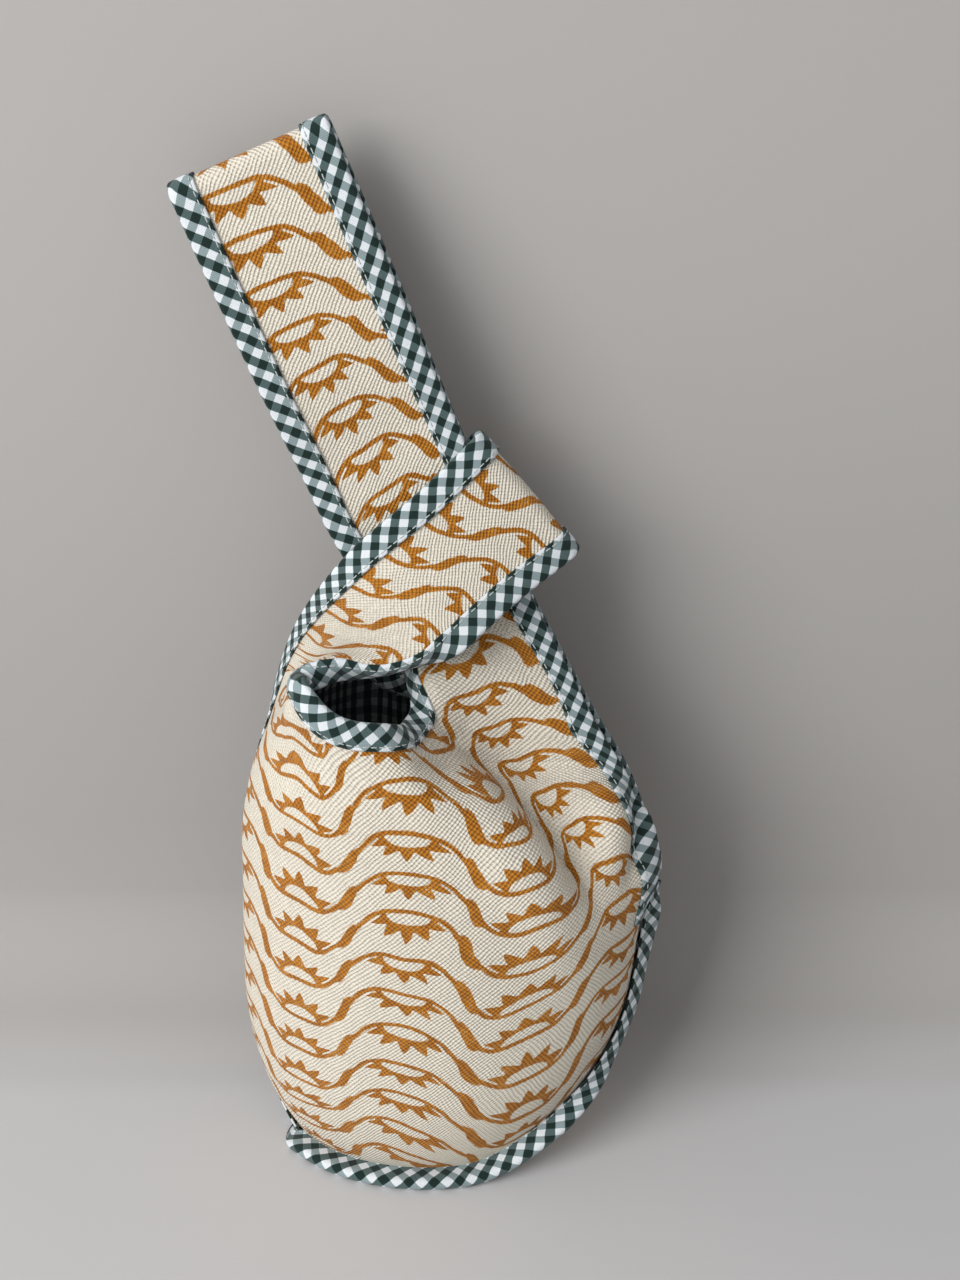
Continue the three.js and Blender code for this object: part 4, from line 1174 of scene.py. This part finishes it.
# %% Where the print lies on the cloth
ROW = 17.7
BEND = 75.0
MARKS = {
    "body": [
        (0, -0.53, [(7.85, 4.04), (7.41, 5.24), (6.93, 5.18), (6.37, 5.23), (5.65, 5.23), (4.9, 5.2),
         (4.31, 5.25), (3.74, 5.24), (3.21, 5.16), (2.64, 5.08), (2.1, 4.8)]),
        (0.11, -0.39, [(7.74, 6.08), (7.25, 5.87), (6.73, 5.78), (6.08, 5.71), (5.45, 5.7), (4.74, 5.71),
         (4.16, 5.71), (3.62, 5.72), (3.1, 5.72), (2.54, 5.67), (2.1, 5.59)]),
        (-0.235, 0, [(7.59, 2.51), (7.12, 3.35), (6.62, 3.67), (6.01, 3.84), (5.24, 3.91), (4.61, 3.92),
         (4.02, 3.89), (3.48, 3.87), (2.93, 3.8)]),
        (0.235, 0, [(7.64, 6.44), (7.01, 6.35), (6.42, 6.35), (5.84, 6.26), (5.12, 6.31), (4.56, 6.23),
         (4, 6.24)]),
        (0.5, 0.36, [(7.6, 7.77), (6.84, 7.58), (6.2, 7.49), (5.55, 7.46), (4.83, 7.45), (4.31, 7.44),
         (3.81, 7.46), (3.25, 7.53), (2.69, 7.64), (2.13, 7.77)]),
        (1, 1.47, [(6.63, 10.35), (6.03, 10.28), (5.29, 10.17), (4.56, 10.18), (4.11, 10.17),
         (3.55, 10.33), (2.9, 10.7), (2.01, 11.44)]),
        (0.93, 0.64, [(7.14, 10.19), (6.49, 9.91), (5.78, 9.78), (5.13, 9.82), (4.46, 9.67),
         (3.93, 9.61), (3.37, 9.88), (2.71, 10.4), (1.68, 11.26)]),
        (1.5, -2.47, [(11.09, 11), (10.05, 10.92), (9.15, 11.33), (7.9, 11.38), (7.03, 11.6),
         (6.46, 11.9), (5.84, 12.26), (5.04, 12.45), (4.31, 12.76), (3.84, 12.56), (3.24, 13.19),
         (2.07, 14.04)]),
        (1.77, -1.87, [(11.11, 12.85), (9.97, 12.52), (9.29, 12.86), (8.18, 12.81), (7.11, 12.84)]),
        (1.235, 4, [(5.17, 11.56), (4.61, 11.39)]),
        (0.765, 1, [(6.85, 9.1), (6.2, 8.88), (5.56, 8.76), (4.97, 8.64), (4.27, 8.64), (3.7, 8.71),
         (3.12, 8.93)]),
        (1.05, 0.64, [(7.19, 10.43)]),
        (1.12, 1.6, [(6.61, 10.56)]),
        (1.17, 2.46, [(6.08, 10.91)]),
        (1.27, 0.87, [(7.42, 11)]),
        (1.36, 0.44, [(7.88, 10.88)]),
        (1.37, 1.42, [(7.12, 11.28)]),
        (1.3, 1.69, [(6.84, 11.31)]),
        (1.24, 2.07, [(6.48, 11.37)]),
        (1.37, 2.42, [(6.54, 11.57)]),
        (1.3, 2.69, [(6.32, 11.56)]),
        (1.22, 3.2, [(5.81, 11.61)]),
        (1.37, 3.42, [(5.93, 11.89)]),
        (1.27, 3.87, [(5.46, 11.77)]),
        (1.5, -13.47, [(23.07, 10.75), (21.89, 10.7), (21.25, 10.71), (20.58, 10.75), (19.98, 10.97),
         (19.07, 11.13), (17.48, 11.21), (14.94, 11.19)]),
        (1.78, -12.8, [(22.07, 12.7), (21.44, 12.62), (20.83, 12.57), (20.29, 12.53), (19.52, 12.61),
         (18.5, 12.67)]),
    ],
    "band": [
        (-1, -5.36, [(14.38, 1.11), (13.2, 1.14), (12.25, 1.28), (11.19, 1.39)]),
        (-0.765, -5.9, [(15.5, 2.51), (14.16, 2.52), (12.92, 2.58), (11.64, 3.1)]),
        (-0.5, -6.64, [(16.54, 4.41), (15.25, 4.15), (13.7, 4.23), (12.43, 4.31)]),
    ],
}


print(sum(len(marks) for groups in MARKS.values() for _, _, marks in groups), "marks")

# %% [markdown]
# Between the marks the numbers have to change smoothly, in both directions at once. A thin plate that is
# bent through all the marks does that, and it gives way a little, so that no mark makes a dent.

# %% Bending a plate through the marks
def plate(places, values, softness=10.0):
    """A thin plate through values at places in the plane, as a function."""
    places, values = np.array(places, float), np.array(values, float)

    def kernel(a, b):
        d2 = ((a[:, None] - b[None]) ** 2).sum(-1)
        return d2 * np.log(np.maximum(d2, 1e-9)) / 2

    n = len(places)
    full = np.zeros((n + 3, n + 3))
    full[:n, :n] = kernel(places, places) + softness * np.eye(n)
    full[:n, n:] = np.column_stack([np.ones(n), places])
    full[n:, :n] = full[:n, n:].T
    answer = np.linalg.solve(full, np.concatenate([values, np.zeros((3,) + values.shape[1:])]))

    def read(at):
        flat = at.reshape(-1, 2)
        base = np.column_stack([np.ones(len(flat)), flat])
        found = kernel(flat, places) @ answer[:n] + base @ answer[n:]
        return found.reshape(at.shape[:-1] + values.shape[1:])
    return read


def read_marks(region):
    """What the marks of a region say for every place of the front."""
    places, values = [], []
    for bend, first, marks in MARKS[region]:
        for k, (row, column) in enumerate(marks):
            places.append(flats["front"][int(round(row * N)), int(round(column * N))])
            values.append((bend, first + k))
    return plate(places, values)(flats["front"])


def print_places(which):
    """How many bends across, and in which row, every place of a panel lies."""
    flat = flats[which]
    if which == "back":
        bend = (flat[..., 0] + 18) / BEND
        return np.stack([bend, (70 - flat[..., 1]) / ROW - 0.2 * bend], -1)
    rows, cols = np.indices(flat.shape[:2])
    body = (rows <= TOP + N) | (cols > 6 * N)
    got = np.where(body[..., None], read_marks("body"), 0)
    band = np.where(cols < 6 * N, ease(TOP, TOP + 2.5 * N, rows), 0)[..., None]
    return got + (read_marks("band") - got) * band


for which in nets:
    mesh = pieces["canvas_" + which + "_panel"].data
    places = print_places(which)[net_faces(which)[0]]
    for k, key in enumerate(("print_bend", "print_row")):
        values = np.resize(places[:, k], len(mesh.vertices))
        mesh.attributes.new(key, "FLOAT", "POINT").data.foreach_set("value", values)
    print(which, "rows of print", np.round(places[:, 1].min(), 1), "to", np.round(places[:, 1].max(), 1))

# %% [markdown]
# The ink is drawn with distances in millimetres: how far a point lies from the middle of its vine, and
# from the oval of its flower. A little noise moves the edges, as the cloth's threads do, and thins the
# ink where the block pressed less. Under it, cream canvas shows its threads: they go over and under
# in turn, with thick and thin ones between.

# %% The printed canvas
RISE, SQUARE = 1.28, 1.65
VINE, PETALS, EYE, TEETH = 0.85, (9.2, 6.8), (7.0, 4.5), 4.0
CANVAS_THREADS = 0.92


def printed_canvas():
    f = Finish("printed canvas")
    u, v = f.flat()
    place = f.cloth_place(u, v)
    wobble = f.noise(place, 0.11, 2.0) - 0.5
    wobble2 = f.noise(f.cloth_place(u, v, 37.0), 0.09, 2.0) - 0.5
    rough_edge = (f.noise(place, 1.1, 3.0, 0.6) - 0.5) * 1.3
    bend = f.number("print_bend") + wobble * 0.03
    row = f.number("print_row") + wobble2 * 0.10

    # The vine, with a leaf on its way down and a bud on its way up.
    turn = bend * (2 * math.pi)
    swing = turn.math("COSINE") * SQUARE
    wave = swing.math("SINE") * (RISE / 2 / math.sin(SQUARE))
    slope = swing.math("COSINE") * turn.math("SINE") * (math.pi * SQUARE * RISE / math.sin(SQUARE))
    tilt = (1.0 + slope * slope * (ROW / BEND) ** 2).math("SQRT")
    beside = row - wave
    off = (beside - beside.math("ROUND")).math("ABSOLUTE") * ROW / tilt

    def swell(middle, reach, width):
        gap = ((bend - middle + 0.5).math("FRACT") - 0.5) * tilt
        return (1.0 - gap * gap / reach ** 2).math("MAXIMUM", 0.0) * width
    vine = VINE + swell(0.765, 0.075, 1.8) + swell(0.235, 0.070, 1.35) - off

    # Half flowers with an oval eye and five teeth hang under each crest and stand over each trough.
    def from_oval(x, y, size):
        wide, high = size
        share = ((x / wide).math("POWER", 2.0) + (y / high).math("POWER", 2.0)).math("SQRT")
        steep = ((x / wide ** 2).math("POWER", 2.0) + (y / high ** 2).math("POWER", 2.0)).math("SQRT")
        return share * (share - 1.0) / (steep + 0.001)

    def flower(middle, sign):
        gap = bend - middle
        gap = gap - gap.math("ROUND")
        x = gap * BEND
        y = (row * sign + RISE / 2).math("FRACT") * ROW
        y = y - (ROW - 1.2) * f.sum("GREATER_THAN", y, ROW - 1.2) * (ROW / (ROW - 1.2))
        turned = ((y - 1.0) / PETALS[1]).math("ARCTAN2", x / PETALS[0])
        teeth = (turned - math.pi / 2) * (5.6 / math.pi)
        teeth = (teeth - teeth.math("ROUND")).math("ABSOLUTE")
        tooth = (1.0 - teeth * 2.4).math("MAXIMUM", 0.0) * TEETH * f.step(y, 0.5, 3.0)
        ring = (tooth - from_oval(x, y - 1.0, PETALS)).math("MINIMUM", from_oval(x, y - 1.0, EYE))
        return ring.math("MINIMUM", y + 0.4).math("MINIMUM", 13.7 - (beside * sign).math("FRACT") * ROW)
    petals = flower(0.5, 1).math("MAXIMUM", flower(0.0, -1))
    shape = vine.math("MAXIMUM", petals) + rough_edge * 0.8

    threads = weave(u + wobble * 2.0 + rough_edge * 0.12, v + wobble2 * 2.0, CANVAS_THREADS)
    slub = f.noise(f.cloth_place(u * 0.35, v), 1.3, 3.0, 0.65)
    press = f.noise(place, 0.16, 3.0, 0.6)
    inked = f.step(shape + threads * 0.35, -0.10, 0.30) * f.step(press + threads * 0.40, 0.26, 0.46)
    fleck = f.step(f.noise(place, 1.7, 2.0, 0.6), 0.70, 0.76) * 0.35

    cream = f.mix(slub * 0.5 + threads * 0.65 + 0.24, colour(186, 171, 144), colour(240, 233, 217))
    cream = f.mix(fleck, cream, colour(150, 130, 104))
    thin_ink = threads * 0.8 + f.step(press, 0.65, 0.35) * 0.3 - 0.1
    mustard = f.mix(thin_ink, colour(144, 82, 15), colour(212, 142, 42))
    tone = f.mix(inked, cream, mustard)
    rough = 0.88 + 0.08 * threads
    return f.surface(tone, rough, threads + slub * 0.8, 0.0008,
                     **{"Specular IOR Level": 0.2, "Sheen Weight": 0.12})

# Where only one is, the threads that lie on top decide, so one way is a little deeper than the other.
# Two stripes are added for that. On the bindings the cloth is cut at 45 degrees. The lining lies inside
# the bag, in shade, so its colours are darkened to 30 percent as painted shade.

# %% The checked cotton
CHECK, COTTON_THREADS = 3.175, 0.36


def checked_cotton(name, slant, painted_shade_factor=1.0):
    f = Finish(name)
    u, v = f.flat()
    place = f.cloth_place(u, v)
    drift = (f.noise(place, 0.12, 2.0) - 0.5) * 1.2
    c, s = math.cos(slant), math.sin(slant)
    a, b = u * c + v * s + drift, v * c - u * s + drift

    def stripe(x):
        t = ((x / (2 * CHECK)).math("FRACT") - 0.5).math("ABSOLUTE")
        return f.step(t, 0.225, 0.275)
    threads = weave(a, b, COTTON_THREADS)
    mottle = f.noise(place, 2.2, 2.0)
    green = stripe(a) * 0.62 + stripe(b) * 0.38
    # Every colour is darkened by the last argument of checked_cotton, which paints shade where it is
    # below 1.
    light = f.mix(mottle, colour(200, 207, 212, painted_shade_factor), colour(236, 240, 242, painted_shade_factor))
    dark = f.mix(mottle, colour(6, 27, 23, painted_shade_factor), colour(20, 46, 41, painted_shade_factor))
    thin = threads * 0.6 + mottle * 0.4
    paler = f.mix(thin, colour(92, 112, 112, painted_shade_factor), colour(168, 183, 187, painted_shade_factor))
    deeper = f.mix(thin, colour(36, 58, 56, painted_shade_factor), colour(98, 118, 118, painted_shade_factor))
    tone = f.mix(f.step(green, 0.06, 0.32), light, paler)
    tone = f.mix(f.step(green, 0.40, 0.60), tone, deeper)
    tone = f.mix(f.step(green, 0.68, 0.94), tone, dark)
    return f.surface(tone, 0.82 + 0.08 * threads, threads + mottle * 0.8, 0.00012,
                     **{"Specular IOR Level": 0.25, "Sheen Weight": 0.15})

# %% [markdown]
# The seams are sewn with a pale thread. Its twist shows only as a little unevenness, because a stitch
# is half a millimetre thick.

# %% The sewing thread
def thread():
    f = Finish("sewing thread")
    place = f.node("ShaderNodeTexCoord", None, None, 3)
    twist = f.noise(place, 2600.0, 1.0)
    tone = f.mix(twist, colour(160, 166, 162), colour(204, 208, 204))
    return f.surface(tone, 0.6 + 0.1 * twist, twist, 0.0001, **{"Specular IOR Level": 0.3})


# The lining's colours are darkened to 30 percent: painted shade for the inside of the bag.
FINISHES = {"canvas": printed_canvas(), "lining": checked_cotton("checked lining", 0, 0.30),
            "binding": checked_cotton("checked binding", math.pi / 4), "stitches": thread()}
for name, piece in pieces.items():
    for word, finish in FINISHES.items():
        if word in name:
            piece.data.materials.append(finish)
            print(name, "has the finish", finish.name)

# %% [markdown]
# ## What each piece moves with
# The handle tips about the line where it leaves the knot. The pieces that cross that line keep their
# points where they lie, and all others are attached to the bag. The solids of the model that the
# pieces stand for are hidden.

# %% Bodies and solids
CROSSING = ("canvas_front_panel", "canvas_back_panel", "lining_front_panel", "lining_back_panel",
            "neck_binding", "long_strap_binding", "neck_stitches", "long_strap_stitches")
for name, piece in pieces.items():
    if name in CROSSING:
        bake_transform(piece)
    else:
        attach(piece, "bag")
for w in nets:
    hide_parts(f"canvas_{w}", f"handle_canvas_{w}")
    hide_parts(f"lining_{w}", f"handle_lining_{w}")
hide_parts(*[f"{p}binding_neck_{w}" for p in ("", "handle_") for w in nets])
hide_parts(*[f"{p}_{w}" for p in ("binding_long", "handle_binding_outer") for w in nets])
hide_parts(*[f"binding_short_{w}" for w in nets])
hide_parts("binding_seam")
for name, size in (("neck", 1.1), ("long_strap", 0.9), ("short_strap", 0.6), ("seam", 0.5)):
    pieces[name + "_binding"]
    pieces[name + "_stitches"]
print(len(pieces), "pieces,", len(CROSSING), "of them bend with the handle")

# %% [markdown]
# ## Floor, backdrop and light
# The bag stands on a pale sheet that curves up close behind it and takes its soft shadow. A plane could
# be extruded and bevelled for it; here a profile of floor, quarter round and wall is drawn across the
# room. Where the sheet stands upright it is painted darker, as painted shade, and a little lighter
# towards its top, as painted light.

# %% The sheet that it stands on
def backdrop():
    rows = [(-3.0, 0.0)] + [(y, 0.0) for y in np.linspace(-1.5, 0.02, 6)]
    rows += [(0.02 + 0.06 * math.sin(a), 0.06 - 0.06 * math.cos(a))
             for a in np.linspace(0, math.pi / 2, 13)[1:]]
    rows += [(0.08 - 0.175 * (z - 0.06), z) for z in (0.1, 0.2, 0.4, 0.8)]
    points = [(x, y, z) for y, z in rows for x in (-3.0, 3.0)]
    faces = [(2 * k, 2 * k + 1, 2 * k + 3, 2 * k + 2) for k in range(len(rows) - 1)]
    mesh = bpy.data.meshes.new("sheet")
    mesh.from_pydata(points, [], faces)
    mesh.polygons.foreach_set("use_smooth", [True] * len(mesh.polygons))
    sheet = bpy.data.objects.new("sheet", mesh)
    scene.collection.objects.link(sheet)
    f = Finish("pale card")
    place = f.node("ShaderNodeTexCoord", None, None, 3)
    depth = f.node("ShaderNodeSeparateXYZ", None, {0: place}, 1)
    height = depth.out(2)
    # Painted shade: the upright part is darker than the floor. Painted light: it grows a little lighter
    # towards the top.
    upright = f.mix(f.step(height, 0.14, 0.40), colour(166, 163, 160), colour(172, 169, 166))
    tone = f.mix(f.step(depth + height, 0.0, 0.07), colour(203, 202, 202), upright)
    sheet.data.materials.append(f.surface(tone, 0.85, f.noise(place, 900.0), 0.00002))
    return sheet


backdrop()
print("backdrop upright from", 0.08, "m behind the bag")

# %% [markdown]
# The light comes from a window on the left, in front of the bag and higher than it. A large area lamp
# gives its soft shadows, and the pale room is a weak light from all round.

# %% Window and room
scene.view_settings.view_transform = "Standard"
scene.world = bpy.data.worlds.new("room")
scene.world.use_nodes = True
scene.world.node_tree.nodes["Background"].inputs["Color"].default_value = (0.44, 0.445, 0.46, 1)
bpy.ops.object.select_all(action="DESELECT")
bpy.ops.object.light_add(type="AREA", location=(-1.66, -1.74, 1.25))
window = bpy.context.object
window.data.energy = 68
window.data.shape = "RECTANGLE"
window.data.size, window.data.size_y = 1.7, 1.8
to_bag = np.array([0, 0, 0.2]) - np.array(window.location)
steepness = math.acos(-to_bag[2] / np.linalg.norm(to_bag))
window.rotation_euler = (steepness, 0, math.atan2(to_bag[1], to_bag[0]) - math.pi / 2)
print("window", round(float(np.linalg.norm(to_bag)), 2), "m from the bag")

# %% [markdown]
# ## The end
